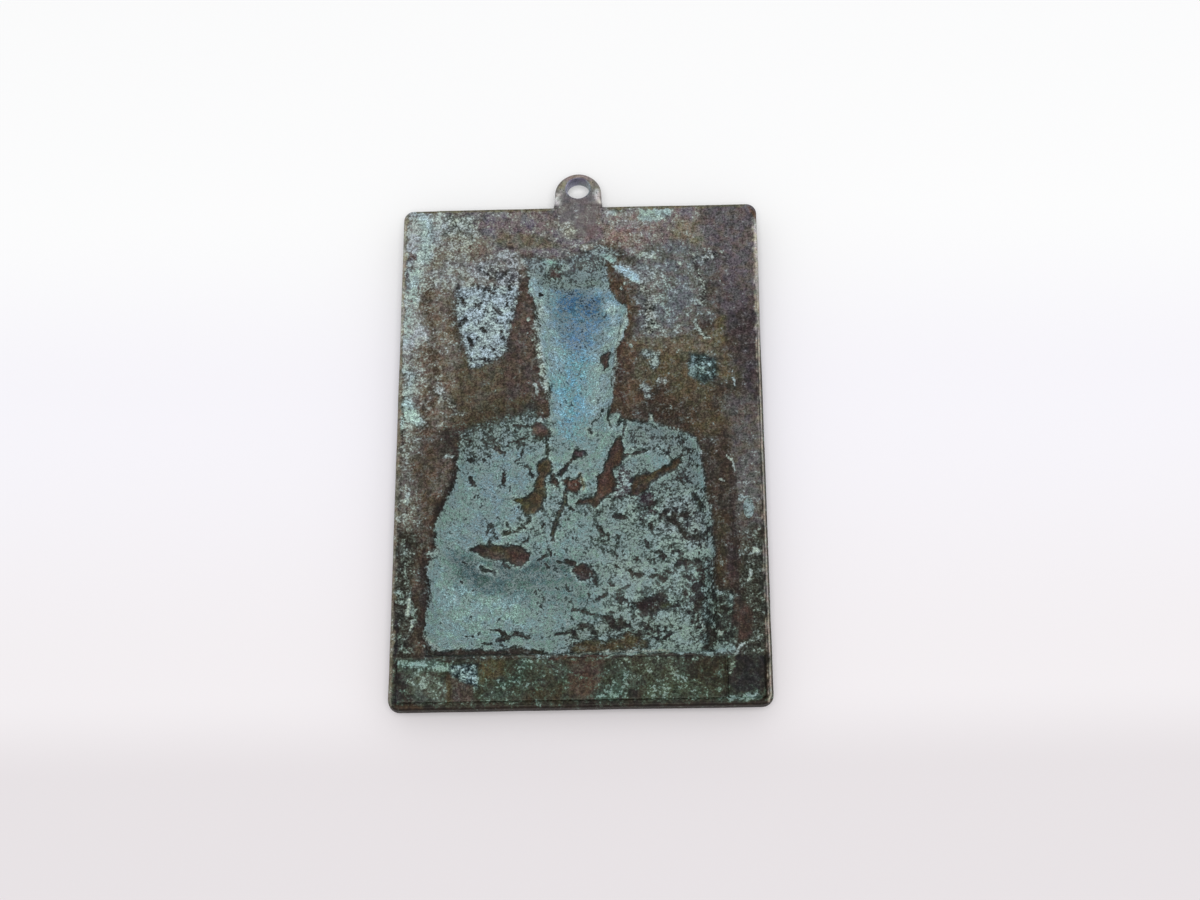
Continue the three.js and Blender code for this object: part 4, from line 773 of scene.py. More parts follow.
def row_share(x, y, row):
    """The places near a row of paint, and how far the row covers each of them."""
    spread = row["reach"] + row["soft"]
    xs, ys = zip(*row["points"])
    near = (x > min(xs) - spread) & (x < max(xs) + spread) & (y > min(ys) - spread) & (y < max(ys) + spread)
    near = np.flatnonzero(near)
    if row["closed"]:
        out = -inside_depth(x[near], y[near], row["points"])
    else:
        out = run_distance(x[near], y[near], row["points"])
    return near, 1 - smoothstep(out - row["reach"], -row["soft"], row["soft"])


def plain_paint(count, cover, metal, crust):
    """The same paint for a number of points. Cover is one share, or one for each point."""
    return {
        "cover": np.broadcast_to(np.asarray(cover, float), (count,))[:, None].copy(),
        "metal": np.tile(np.array(metal, float), (count, 1)),
        "crust": np.tile(np.array(crust, float), (count, 1)),
    }


def painted(points, rows):
    """The paint of points after all rows, each over the ones before it."""
    x, y = sight_plan(points)
    wide_x, wide_y = wandering(x, y)
    paint = plain_paint(len(points), **GROUND)
    for row in rows:
        near, share = row_share(wide_x, wide_y, row) if row["soft"] >= WIDE_SOFT else row_share(x, y, row)
        for key, values in paint.items():
            if row[key] is not None:
                values[near] += (np.array(row[key], float) - values[near]) * share[:, None]
    return paint


def worn_rise(points):
    """1 on the marks that are rubbed bare, which stand a little proud."""
    x, y = sight_plan(points)
    rise = np.zeros(len(points))
    for row in [*BARE, *NICK_ROWS]:
        near, share = row_share(x, y, row)
        rise[near] = np.maximum(rise[near], share)
    return rise


def merged(first, second, share):
    """Two paints of the same points, with a share of the second."""
    share = np.asarray(share, float)[:, None]
    return {key: first[key] + (second[key] - first[key]) * share for key in first}


def stacked(*paints):
    return {key: np.concatenate([paint[key] for paint in paints]) for key in paints[0]}


# Relief
def on_bust(points):
    return [(px * BUST["width"] / 2, FIELD_BOX[1] + py * BUST["height"]) for px, py in points]


def on_head(points):
    return [(HEAD["x"] + px * HEAD["width"] / 2, HEAD["y"] + py * HEAD["height"] / 2) for px, py in points]


BUST_OUTLINE = on_bust(BUST_SHARES)
FIELD_OUTLINE = rectangle(*FIELD_BOX)


def robe_depth(x, y):
    """The bust's depth with the swell of sleeves and shoulders and the dips of the creases."""
    inside = inside_depth(x, y, BUST_OUTLINE)
    depth = np.full(np.shape(x), BUST["depth"])
    for swell, runs in ((SLEEVE, SLEEVES), (SHOULDER, SHOULDERS)):
        for points in runs:
            depth += swell["rise"] * bump(run_distance(x, y, on_bust(points)) / swell["radius"])
    for points, width, height in CREASES:
        out = run_distance(x, y, on_bust(points)) / (CREASE["radius"] * width)
        depth -= CREASE["depth"] * height * bump(out)
    return depth * np.sin(np.clip(inside / BUST["edge"], 0, 1) * math.pi / 2)


def out_on_head(x, y):
    return np.hypot((x - HEAD["x"]) * 2 / HEAD["width"], (y - HEAD["y"]) * 2 / HEAD["height"])


def dome(out, fullness, edge=DOME_EDGE):
    """1 in the middle of a rounded form and 0 from its edge on."""
    return np.maximum(0, 1 - out**fullness) ** edge


def head_depth(x, y):
    return HEAD["depth"] * dome(out_on_head(x, y), HEAD["fullness"])


def down_beard(y):
    return np.clip((BEARD_TOP - y) / BEARD["length"], 0, 1)


def beard_half_width(y):
    return (BEARD["top"] + (BEARD["tip"] - BEARD["top"]) * down_beard(y) ** BEARD["taper"]) / 2


def beard_depth(x, y):
    past = np.maximum(0, np.maximum(y - BEARD_TOP, BEARD_TOP - BEARD["length"] - y))
    out = np.hypot(x - HEAD["x"], past) / beard_half_width(y)
    depth = BEARD["depth"] + (BEARD["tip_depth"] - BEARD["depth"]) * down_beard(y)
    return depth * dome(out, BEARD["fullness"])


def figure_depth(x, y):
    bearded = soft_max(robe_depth(x, y), beard_depth(x, y), BUST["edge"] * BEARD_MEETS)
    return soft_max(bearded, head_depth(x, y), BUST["edge"] * HEAD_MEETS)


def struck_depth(x, y):
    """How far the plate is struck towards the front."""
    share = smoothstep(inside_depth(x, y, FIELD_OUTLINE), 0, BORDER_RAMP)
    return BORDER_STEP + (figure_depth(x, y) - BORDER_STEP) * share


def hair_rise(x, y):
    """Hair round the face, in strands that fan out from the middle of the head."""
    width, height, soft = HEAD["width"], HEAD["height"], HAIR["soft"]
    across, up = x - HEAD["x"], y - HEAD["y"]
    face = 2 / HAIR["face"] * np.hypot(across / width, (up + height * HAIR["down"]) / height)
    on = smoothstep(face, 1 - soft, 1 + soft) * smoothstep(HAIR["edge"] - out_on_head(x, y), 0, soft)
    on = on * smoothstep(y, BEARD_TOP - HAIR["over_beard"], BEARD_TOP + height * soft)
    angle = np.arctan2(across, up + height * HAIR["centre"])
    strand = np.cos(angle * HAIR["strands"] + HAIR["curve"] * out_on_head(x, y))
    return on * width * (HAIR["rise"] + HAIR["strand"] * strand)


def lock_rise(x, y):
    """Wavy locks down the beard, with finer ones on them."""
    side, down = (x - HEAD["x"]) / beard_half_width(y), down_beard(y)
    on = np.prod([smoothstep(inside, 0, LOCKS["fade"]) for inside in (1 - np.abs(side), down, 1 - down)], 0)
    sway = LOCKS["sway"] * np.sin(down * LOCKS["waves"] * math.pi)
    locks = np.cos((side + sway) * LOCKS["count"] * math.pi)
    fine = np.cos((side + LOCKS["fine_sway"] * sway) * LOCKS["fine"] * math.pi)
    return on * HEAD["width"] * LOCKS["rise"] * (locks + LOCKS["fine_share"] * fine)


def front_rise(x, y):
    """How far the front stands out beyond the struck plate."""
    middle = MOULDING["width"] / 2
    rise = MOULDING["rise"] * bump((inside_depth(x, y, FIELD_OUTLINE) + middle) / middle)
    rise += hair_rise(x, y) + lock_rise(x, y)
    for points, radius, height in FACE:
        out = run_distance(x, y, on_head(points)) / (radius * HEAD["width"] / 2)
        rise += height * HEAD["width"] * bump(out)
    draped = smoothstep(np.abs(x - HEAD["x"]) / beard_half_width(y), 1, FOLD["clear_of_beard"])
    draped = np.where(y < BEARD_TOP - BEARD["length"], 1, draped)
    on_robe = draped * smoothstep(inside_depth(x, y, BUST_OUTLINE), 0, BUST["edge"])
    for points, height in FOLDS:
        rise += on_robe * FOLD["rise"] * height * bump(run_distance(x, y, on_bust(points)) / FOLD["radius"])
    ring = np.hypot(x - HEAD["x"], y - HEAD["y"]) - HALO["radius"] + HALO["width"] / 2
    behind = 1 - smoothstep(figure_depth(x, y), *HALO["fade"])
    return rise + HALO["rise"] * behind * bump(ring * 2 / HALO["width"])


# Meshes
def rounded(x, y, box, radius):
    """The places of a rectangle's grid, with those past its round corners moved onto them."""
    left, bottom, right, top = box
    cx = np.clip(x, left + radius, right - radius)
    cy = np.clip(y, bottom + radius, top - radius)
    out = np.hypot(x - cx, y - cy)
    pull = radius / np.maximum(out, radius)
    return cx + (x - cx) * pull, cy + (y - cy) * pull


def lines(low, high, step, edge):
    """Grid lines between two ends, with extra ones at given distances from both."""
    start, stop, outer = low + edge[-1], high - edge[-1], np.array(edge[:-1])
    inner = np.linspace(start, stop, max(2, round((stop - start) / step)) + 1)
    return np.concatenate([low + outer, inner, high - outer[::-1]])


# The materials made here by slot. The frame has plain ones of the same names.
BRONZES = {}


def add_piece(name, points, quads, paint, slot, node, **look):
    """A smooth mesh from points in millimetres, with its paint as attributes, in a CAD node's place.
    Pieces in the same slot share its material."""
    low, high = (np.array(corner) for corner in CAD_BOX)
    places = np.clip((np.asarray(points, float) + MIDDLE) * METRE, low, high)
    mesh = bpy.data.meshes.new(name)
    mesh.vertices.add(len(places))
    mesh.vertices.foreach_set("co", places.ravel())
    mesh.loops.add(len(quads) * 4)
    mesh.loops.foreach_set("vertex_index", np.asarray(quads, np.int32).ravel())
    mesh.polygons.add(len(quads))
    mesh.polygons.foreach_set("loop_start", np.arange(0, len(quads) * 4, 4, dtype=np.int32))
    mesh.polygons.foreach_set("use_smooth", np.ones(len(quads), bool))
    mesh.update(calc_edges=True)
    mesh.validate()
    cover = mesh.attributes.new("cover", "FLOAT", "POINT")
    cover.data.foreach_set("value", paint["cover"].ravel().astype(np.float32))
    for key in ("metal", "crust"):
        colors = np.ones((len(places), 4), np.float32)
        colors[:, :3] = linear(paint[key])
        mesh.attributes.new(key, "FLOAT_COLOR", "POINT").data.foreach_set("color", colors.ravel())
    if slot not in BRONZES:
        BRONZES[slot] = aged_bronze(slot, **look)
    mesh.materials.append(BRONZES[slot])
    piece = bpy.data.objects.new(name, mesh)
    bpy.context.scene.collection.objects.link(piece)
    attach(piece, "root")
    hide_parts(node)
    return piece


def grid_quads(nx, ny, start=0, flip=False):
    i, j = np.meshgrid(np.arange(nx - 1), np.arange(ny - 1), indexing="ij")
    a = start + i * ny + j
    quads = np.stack([a, a + ny, a + ny + 1, a + 1], -1).reshape(-1, 4)
    return quads[:, ::-1] if flip else quads


def ring_quads(count, around, reverse=False):
    """Quads of a closed ring of sections, each with so many points around it."""
    i, j = np.meshgrid(np.arange(count), np.arange(around), indexing="ij")
    i, after = i * around, (i + 1) % count * around
    k = (j + 1) % around
    corners = [i + j, i + k, after + k, after + j]
    return np.stack(corners[:1] + corners[:0:-1] if reverse else corners, -1).reshape(-1, 4)


def on_border(x, y):
    """The level of the border's back, where sheets and drops lie."""
    return np.full(np.shape(x), BORDER_BACK)


def closed_sheet(box, step, radius, top, under=on_border, edge=(0,)):
    """Points of the upper and of the lower side of a sheet with round corners, and its quads."""
    xs, ys = lines(box[0], box[2], step, edge), lines(box[1], box[3], step, edge)
    x, y = np.meshgrid(xs, ys, indexing="ij")
    x, y = rounded(x, y, box, radius)
    nx, ny = x.shape
    upper = np.stack([x, y, top(x, y)], -1).reshape(-1, 3)
    lower = np.stack([x, y, under(x, y)], -1).reshape(-1, 3)
    ring = np.concatenate([
        np.arange(nx) * ny, (nx - 1) * ny + np.arange(1, ny),
        np.arange(nx - 2, -1, -1) * ny + ny - 1, np.arange(ny - 2, 0, -1),
    ])
    after = np.roll(ring, -1)
    side = np.stack([ring, ring + nx * ny, after + nx * ny, after], -1)
    return upper, lower, np.concatenate([grid_quads(nx, ny), grid_quads(nx, ny, nx * ny, True), side])


# Materials
def linear(colors):
    """Colours as the eye reads them, 0 to 255, as the linear shares that a node takes."""
    shares = np.asarray(colors, float) / 255
    return np.where(shares <= 0.04045, shares / 12.92, ((shares + 0.055) / 1.055) ** 2.4)


def node_color(*color):
    return [*linear(color), 1]


# Tints that the bronze and its crust wander between
WARM, COOL = (1.08, 1.0, 0.9, 1), (0.94, 1.0, 1.08, 1)
PINKISH, GREENISH = (1.07, 0.97, 1.02, 1), (0.96, 1.03, 0.94, 1)
TINT_SPAN = (0.42, 0.58)
# Which way a seed moves a noise, and how much of a round speck is at full strength
SEED_WAY, SPECK_CORE = (1, 0.7, 0.3), 0.6
# Noises: lumps per millimetre, detail, roughness, distortion, seed and, where lumps are long, stretch
NOISES = {
    "wide": (0.45, 3.0, 0.5, 0.0, 11.0), "middle": (0.9, 6.0, 0.62, 0.3), "fine": (2.8, 2.5, 0.6, 0.2, 7.0),
    "patchy": (0.8, 3.0, 0.55, 0.5, 21.0), "grain": (6.5, 1.0, 0.5, 0.0, 3.0),
    "flecks": (2.4, 2.0, 0.5, 0.4, 41.0), "streaks": (1.5, 3.0, 0.6, 0.0, 31.0, 4.0),
}
# Swings of a colour with the noises: half the span that counts, then how much darker and lighter it gets
METAL_SWINGS = {"fine": (0.14, 0.42, 0.46), "grain": (0.14, 0.28, 0.32), "middle": (0.1, 0.28, 0.3),
                "streaks": (0.08, 0.18, 0.18)}
CRUST_SWINGS = {"fine": (0.1, 0.38, 0.36), "grain": (0.12, 0.44, 0.4), "middle": (0.1, 0.24, 0.22)}
# Spots on the crust, where two values are both in their spans, with their strength and tone: chalky
# edges, pale flecks, dark pores
CRUST_SPOTS = [
    (("thickness", 0.62, 0.8), ("thickness", 1.2, 0.9), 0.36, CHALK),
    (("flecks", 0.6, 0.66), ("patchy", 0.46, 0.56), 0.4, CHALK),
    (("flecks", 0.43, 0.38), ("patchy", 0.54, 0.45), 0.6, DEEP),
]
PITS = {"per_mm": 1.9, "size": 0.28, "seed": 5.0, "span": (0.5, 0.58), "strength": 0.75}
# What the crust's thickness does: closed from so much on, and a haze on the metal where it's thinner.
# A thin crust takes on the metal's tone.
CLOSED, HAZE, THIN, PALER = (0.43, 0.57), (0.12, 0.45, 0.0, 0.42), (0.5, 0.8, 0.8, 0.0), 0.8
CRUST_ROUGHNESS, METALLIC, SPECULAR = 0.9, 0.25, 0.2
CRUST_BUMP, FINE_BUMP_MM, GRAIN_BUMP_MM, BUMP_STRENGTH = 0.4, 0.06, 0.02, 0.8


class Graph:
    """A node tree under construction. Sockets and plain values can both be given as inputs."""

    def __init__(self, name):
        self.material = bpy.data.materials.new(name)
        self.material.use_nodes = True
        self.tree = self.material.node_tree
        self.tree.nodes.clear()
        coordinates = self.add("ShaderNodeTexCoord")
        scaled = self.add("ShaderNodeVectorMath", coordinates.outputs["Object"])
        scaled.operation = "SCALE"
        scaled.inputs["Scale"].default_value = 1 / METRE
        self.place = scaled.outputs[0]

    def add(self, kind, *values, **named):
        node = self.tree.nodes.new(kind)
        for key, value in [*enumerate(values), *named.items()]:
            self.give(node.inputs[key], value)
        return node

    def give(self, socket, value):
        if isinstance(value, bpy.types.NodeSocket):
            self.tree.links.new(value, socket)
        elif value is not None:
            socket.default_value = value

    def math(self, operation, a, b=None):
        node = self.add("ShaderNodeMath", a, b)
        node.operation = operation
        return node.outputs[0]

    def around(self, value, share):
        """A noise value's distance from its middle, times a share."""
        return self.math("MULTIPLY", self.math("SUBTRACT", value, 0.5), share)

    def noise(self, per_mm, detail, roughness, distortion, seed=0.0, stretch=1.0):
        place = self.place
        if stretch != 1.0:
            squeezed = self.add("ShaderNodeVectorMath", place, (1.0, 1 / stretch, 1.0))
            squeezed.operation = "MULTIPLY"
            place = squeezed.outputs[0]
        moved = self.add("ShaderNodeVectorMath", place, tuple(seed * share for share in SEED_WAY))
        node = self.add("ShaderNodeTexNoise", Vector=moved.outputs[0], Scale=per_mm, Detail=detail,
                        Roughness=roughness, Distortion=distortion)
        return node.outputs[0]

    def specks(self, per_mm, size, seed):
        """1 in round specks, 0 between them."""
        moved = self.add("ShaderNodeVectorMath", self.place, (seed, seed, 0.0))
        node = self.add("ShaderNodeTexVoronoi", Vector=moved.outputs[0], Scale=per_mm)
        return self.span(node.outputs["Distance"], size, size * SPECK_CORE)

    def attribute(self, name, output="Color"):
        node = self.add("ShaderNodeAttribute")
        node.attribute_name = name
        return node.outputs[output]

    def span(self, value, low, high, to_low=0.0, to_high=1.0):
        node = self.add("ShaderNodeMapRange", value, low, high, to_low, to_high)
        node.interpolation_type = "SMOOTHSTEP"
        return node.outputs[0]

    def mix(self, share, a, b, blend="MIX"):
        node = self.add("ShaderNodeMix")
        node.data_type = "RGBA"
        node.blend_type = blend
        for socket, value in ((node.inputs["Factor"], share), (node.inputs[6], a), (node.inputs[7], b)):
            self.give(socket, value)
        return node.outputs[2]

    def scaled(self, color, share):
        """A colour made lighter or darker by a share."""
        node = self.add("ShaderNodeVectorMath", color)
        node.operation = "SCALE"
        self.give(node.inputs["Scale"], share)
        return node.outputs[0]

    def bump(self, height, distance_mm, normal=None):
        node = self.add("ShaderNodeBump", Height=height, Strength=BUMP_STRENGTH, Distance=distance_mm * METRE,
                        Normal=normal)
        return node.outputs[0]

    def both(self, first, second, strength):
        """A strength where two shares are both high."""
        return self.math("MULTIPLY", self.math("MULTIPLY", first, second), strength)

    def swung(self, color, noises, swings, contrast=1.0):
        """A colour that gets darker and lighter with the noises."""
        for name, (half, darker, lighter) in swings.items():
            low, high = 1 - darker * contrast, 1 + lighter * contrast
            color = self.scaled(color, self.span(noises[name], 0.5 - half, 0.5 + half, low, high))
        return color

    def tinted(self, color, noise, first, second, share=1.0):
        """A colour that wanders between two tints with a noise."""
        return self.mix(share, color, self.mix(self.span(noise, *TINT_SPAN), first, second), "MULTIPLY")

    def finish(self, color, roughness, metallic, normal):
        surface = self.add("ShaderNodeBsdfPrincipled", **{
            "Base Color": color, "Roughness": roughness, "Metallic": metallic, "Normal": normal,
            "Specular IOR Level": SPECULAR,
        })
        self.add("ShaderNodeOutputMaterial", surface.outputs[0])
        return self.material


def aged_bronze(name, ragged=2.5, speckled=2.1, contrast=1.0, shine=0.5):
    """Bare bronze under a crust of verdigris with ragged, speckled edges, as the paint says."""
    g = Graph(name)
    values = {key: g.noise(*settings) for key, settings in NOISES.items()}
    bare, verdigris = g.attribute("metal"), g.attribute("crust")
    thickness = g.math("ADD", g.attribute("cover", "Fac"), g.around(values["middle"], ragged))
    thickness = g.math("ADD", thickness, g.around(values["fine"], speckled))
    values["thickness"] = thickness
    covered = g.span(thickness, *CLOSED)

    tone = g.swung(bare, values, METAL_SWINGS, contrast)
    tone = g.tinted(tone, values["wide"], WARM, COOL, contrast)
    tone = g.tinted(tone, values["patchy"], PINKISH, GREENISH, contrast)
    pitted = g.specks(PITS["per_mm"], PITS["size"], PITS["seed"])
    pitted = g.both(pitted, g.span(values["middle"], *PITS["span"]), PITS["strength"])
    tone = g.mix(pitted, tone, node_color(*SOOT))
    tone = g.mix(g.span(thickness, *HAZE), tone, g.scaled(verdigris, PALER))

    crust = g.swung(verdigris, values, CRUST_SWINGS)
    crust = g.tinted(crust, values["wide"], GREENISH, COOL)
    for (first, *first_span), (second, *second_span), strength, spot_tone in CRUST_SPOTS:
        spots = g.both(g.span(values[first], *first_span), g.span(values[second], *second_span), strength)
        crust = g.mix(spots, crust, node_color(*spot_tone))
    crust = g.mix(g.span(thickness, *THIN), crust, g.scaled(g.mix(0.5, verdigris, bare), PALER))

    color = g.mix(covered, tone, crust)
    roughness = g.span(covered, 0, 1, shine, CRUST_ROUGHNESS)
    metallic = g.span(covered, 0, 1, METALLIC, 0.0)
    normal = g.bump(g.math("ADD", g.math("MULTIPLY", covered, CRUST_BUMP), values["fine"]), FINE_BUMP_MM)
    normal = g.bump(values["grain"], GRAIN_BUMP_MM, normal)
    return g.finish(color, roughness, metallic, normal)


# Pieces
FRONT_METAL, FRONT_RUBBED, FRONT_CRUST = (62, 54, 45), (132, 112, 84), (92, 114, 104)
# Lips of the field's back that stand beside the figure and along the border: points, reach, softness
LIPS = [
    ([(-9.6, 31), (-9.4, 18), (-9, 8)], 1.6, 0.9),
    ([(7.4, 31), (8.2, 22), (7.6, 8)], 1.0, 0.9),
    ([(-23.6, 30), (-23.8, -10)], 1.0, 1.4),
    ([(23.4, 30), (23.2, -34)], 1.2, 1.4),
]
# How much the border's back is beaten up, how much more towards the rim and over which inset, and
# how it drops to the seat of the foot's sheets
BORDER_RISE, RIM_RISE, RIM_INSET, SHEET_SEAT = 0.24, 0.14, (-2.6, -0.2), (-0.1, 0.12)
# How deep the field lies and sags between the lips, and how proud the rubbed marks stand
FIELD_DROP, HOLLOW_SAG, MARK_RISE = 0.02, 0.16, 0.12
# Where the field's hollow starts within its edge, where it ends at the figure, and the field's own edge
HOLLOW_EDGE, HOLLOW_AT_FIGURE, FIELD_EDGE = (0.4, 3.0), (0, 0.3), (-0.8, 1.6)
# Unevenness: how far it goes, the size of its lumps and, where it belongs to one surface, the seed
BORDER_WAVE, FIELD_WAVE = (0.02, 5.0, 3), (0.05, 9.0, 1)
BACK_PITS, FINE_PITS, FRONT_PITS = (0.035, 0.9, 21), (0.02, 0.45, 33), (0.03, 1.1, 41)
WALL_WAVE, LIP_WAVE, TANG_WAVE = (0.07, 8.0, 61), (0.03, 3.0, 63), (0.05, 0.9, 71)
SHEET_WAVE, SHEET_PITS, DROP_WAVE = (0.05, 4.0), (0.03, 0.7), (0.07, 0.7)
# The front's paint: how much the fine relief counts, patches in the height that is rubbed, that
# height, stains, and the figure's depth beside which and on which the crust stays
FRONT_DETAIL, FRONT_PATCHES, RUBBED_HEIGHT = 1.7, (0.4, 5.0, 47), (1.7, 4.8)
STAIN_LUMPS, STAIN_SPAN, BESIDE_FIGURE, ON_FIGURE = (1, 8.0, 43), (0.05, 0.5), (-0.05, 0.15), (0.4, 1.7)
FRONT_COVER, STAIN_COVER, RUBBED_COVER = 0.08, 0.42, 0.6


def border_level(x, y):
    """The border's back, beaten up flush with the rim, and left low under the foot's strip."""
    inset = np.minimum(HALF_X - np.abs(x), HALF_Y - np.abs(y)) - WALL
    rise = BORDER_RISE + RIM_RISE * smoothstep(-inset, *RIM_INSET) + wave(x, y, *BORDER_WAVE)
    under = np.maximum(inside_depth(x, y, rectangle(*STRIP_BOX)), inside_depth(x, y, rectangle(*PATCH_BOX)))
    return BORDER_BACK + rise * smoothstep(-under, *SHEET_SEAT)


def field_level(x, y):
    """The field's back, a little hollow between the lips that stand beside the figure."""
    flat = smoothstep(inside_depth(x, y, FIELD_OUTLINE), *HOLLOW_EDGE)
    flat *= 1 - smoothstep(figure_depth(x, y), *HOLLOW_AT_FIGURE)
    lip = np.zeros(np.shape(x))
    for points, reach, soft in LIPS:
        lip = np.maximum(lip, 1 - smoothstep(run_distance(x, y, points) - reach, -soft, soft))
    sag = HOLLOW_SAG * (1 - lip) + worn(x, y, *FIELD_WAVE)
    return FIELD_BACK - FIELD_DROP - sag * flat


def plate_back(x, y):
    inside = inside_depth(x, y, FIELD_OUTLINE)
    border = border_level(x, y)
    level = border + (field_level(x, y) - border) * smoothstep(inside, *FIELD_EDGE)
    pitted = pits(x, y, *BACK_PITS) + pits(x, y, *FINE_PITS)
    return level - figure_depth(x, y) * smoothstep(inside, 0, BORDER_RAMP) - pitted


def plate_front(x, y):
    return np.maximum(0, FIELD_FRONT - struck_depth(x, y) - front_rise(x, y) + pits(x, y, *FRONT_PITS))


def front_paint(points):
    """Dark with stains of verdigris and green beside the figure, rubbed to bronze on the crests."""
    x, y, z = points.T
    high = FIELD_FRONT - z + FRONT_DETAIL * front_rise(x, y) + wave(x, y, *FRONT_PATCHES)
    rubbed = smoothstep(high, *RUBBED_HEIGHT)
    stained = smoothstep(wave(x, y, *STAIN_LUMPS), *STAIN_SPAN)
    figure = figure_depth(x, y)
    beside = smoothstep(figure, *BESIDE_FIGURE) * (1 - smoothstep(figure, *ON_FIGURE))
    cover = FRONT_COVER + STAIN_COVER * np.maximum(stained, beside) - RUBBED_COVER * rubbed
    low, high = (plain_paint(len(points), cover, metal, FRONT_CRUST) for metal in (FRONT_METAL, FRONT_RUBBED))
    return merged(low, high, rubbed)


def make_relief_plate():
    upper, lower, quads = closed_sheet(PLATE_BOX, GRID, CORNER - WALL, plate_back, plate_front)
    upper[:, 2] = np.minimum(FIELD_BACK, upper[:, 2] + MARK_RISE * worn_rise(upper))
    paint = stacked(painted(upper, BACK_PAINT), front_paint(lower))
    points = np.concatenate([upper, lower])
    return add_piece("plate", points, quads, paint, "relief_bronze", "relief_plate")


# The rim's outer wall: its paint, the darker one along the foot, which is painted shade, and how near
# to it, and the levels over which the back's paint takes over
WALL_PAINT = {"cover": 0.3, "metal": (70, 62, 50), "crust": (98, 108, 98)}
FOOT_SHADE_PAINT = {"cover": 0.0, "metal": (34, 27, 21), "crust": (98, 108, 98)}
FOOT_PAINT_NEAR, BACK_PAINT_FROM = (1.2, 0.2), (4.3, 4.7)
# Its rows: degrees in a corner, millimetres along a side, and half the width of a cut
CORNER_TURN, PATH_STEP, CUT_HALF = 9, 0.5, 0.03
# Its section: the lip's edge and bevel, and levels on the wall
LIP_EDGE, LIP_BEVEL, WALL_LEVELS = 0.1, 0.08, (4.1, 3.85, 3.6)
# The back half is bent in along the right edge, so the front half shows beyond it: how far, above
# which level, within which band, and from which Y downwards
BEND = {"in": 0.25, "above": 3.95, "band": 0.5, "y": 25, "fade": 14}
# How high the rim stays in the lug's notch, and how high above the border its lip is worn
NOTCH_RISE, WORN_ABOVE = 0.02, 0.1


def rim_path():
    """Places round the plaque's outline, clockwise from the right end of its top, and the way inwards."""
    x, y = HALF_X - CORNER, HALF_Y - CORNER
    corners = [(x, y, 90), (x, -y, 0), (-x, -y, -90), (-x, y, -180)]
    ends = [JOINT_X, LUG_X - TANG_WIDTH / 2, LUG_X + TANG_WIDTH / 2]
    rows = []
    for corner, after in zip(corners, corners[1:] + corners[:1]):
        turn = corner[2]
        for angle in np.radians(np.arange(turn, turn - 90, -CORNER_TURN)):
            rows.append((corner[0] + CORNER * math.cos(angle), corner[1] + CORNER * math.sin(angle), angle))
        angle = math.radians(turn - 90)
        start = np.array(corner[:2]) + CORNER * np.array([math.cos(angle), math.sin(angle)])
        stop = np.array(after[:2]) + CORNER * np.array([math.cos(angle), math.sin(angle)])
        parts = list(np.arange(0, 1, PATH_STEP / np.hypot(*(stop - start))))
        if corner is corners[-1]:
            cuts = [(end + side + x) / (2 * x) for end in ends for side in (-CUT_HALF, CUT_HALF)]
            parts = sorted(parts + cuts)
        rows += [(*(start + (stop - start) * part), angle) for part in parts]
    px, py, angle = np.array(rows).T
    return np.stack([px, py, -np.cos(angle), -np.sin(angle)], 1)


def rim_section():
    """The channel's section as distances inwards and levels, round from the back lip's root."""
    low, high = RIM_LOW[2], RIM_HIGH[2]
    points = [(WALL, BORDER_BACK), (LIP, BORDER_BACK), (LIP, high - LIP_EDGE)]
    points += [(LIP - LIP_BEVEL, high), (LIP - 2 * LIP_BEVEL, high)]
    for angle in np.radians(np.linspace(0, 90, 9)):
        inward, down = BACK_ROUNDING * (1 - math.sin(angle)), BACK_ROUNDING * (1 - math.cos(angle))
        points.append((inward, high - down))
    points += [(0, level) for level in WALL_LEVELS]
    for angle in np.radians(np.linspace(0, 90, 5)):
        inward, up = FRONT_ROUNDING * (1 - math.cos(angle)), FRONT_ROUNDING * (1 - math.sin(angle))
        points.append((inward, low + up))
    border_front = BORDER_BACK - PLATE_THICKNESS
    return np.array(points + [(LIP, low), (LIP, border_front), (WALL, border_front)])


def make_rim():
    path, section = rim_path(), rim_section()
    px, py = path[:, 0:1], path[:, 1:2]
    inward, z = (np.repeat(section[None, :, k], len(path), 0) for k in (0, 1))
    outer = section[None, :, 0] < WALL
    bent = (px > HALF_X - BEND["band"]) * smoothstep(BEND["y"] - py, 0, BEND["fade"]) * (z > BEND["above"])
    inward = inward + np.where(outer, worn(px + 0 * z, py + 0 * z, *WALL_WAVE) + BEND["in"] * bent, 0)
    x = px + path[:, 2:3] * inward
    y = py + path[:, 3:4] * inward
    y = np.where((px < JOINT_X) & (py > 0), np.minimum(y, HALF_Y - JOINT_DROP), y)
    notch = (np.abs(px - LUG_X) < TANG_WIDTH / 2) & (py > 0)
    z = np.where(notch, np.minimum(z, BORDER_BACK + NOTCH_RISE), z)
    z = z - np.where(z > BORDER_BACK + WORN_ABOVE, worn(x, y, *LIP_WAVE), 0)
    points = np.stack([x, y, z], -1).reshape(-1, 3)
    # Painted shade on the wall along the foot, which faces the camera
    low = smoothstep(-points[:, 1], *(HALF_Y - near for near in FOOT_PAINT_NEAR))
    walls = merged(plain_paint(len(points), **WALL_PAINT), plain_paint(len(points), **FOOT_SHADE_PAINT), low)
    paint = merged(walls, painted(points, BACK_PAINT), smoothstep(points[:, 2], *BACK_PAINT_FROM))
    return add_piece("rim", points, ring_quads(*x.shape), paint, "rim_bronze", "rim_channel", contrast=0.8)


# The eye's foot in the border, and the rounding of its edges, at most a share of the ring's width
EYE_FOOT = HALF_Y - 0.35
EYE_ROUNDING, BORE_ROUNDING, THIN_ROUNDING = 0.55, 0.25, 0.46
# Points along the neck, over the eye, along its foot, round each edge, and between the edges
NECK_POINTS, ARC_POINTS, FOOT_POINTS, EDGE_POINTS, FLAT_SHARES = 12, 49, 18, 7, (0.25, 0.5, 0.75)
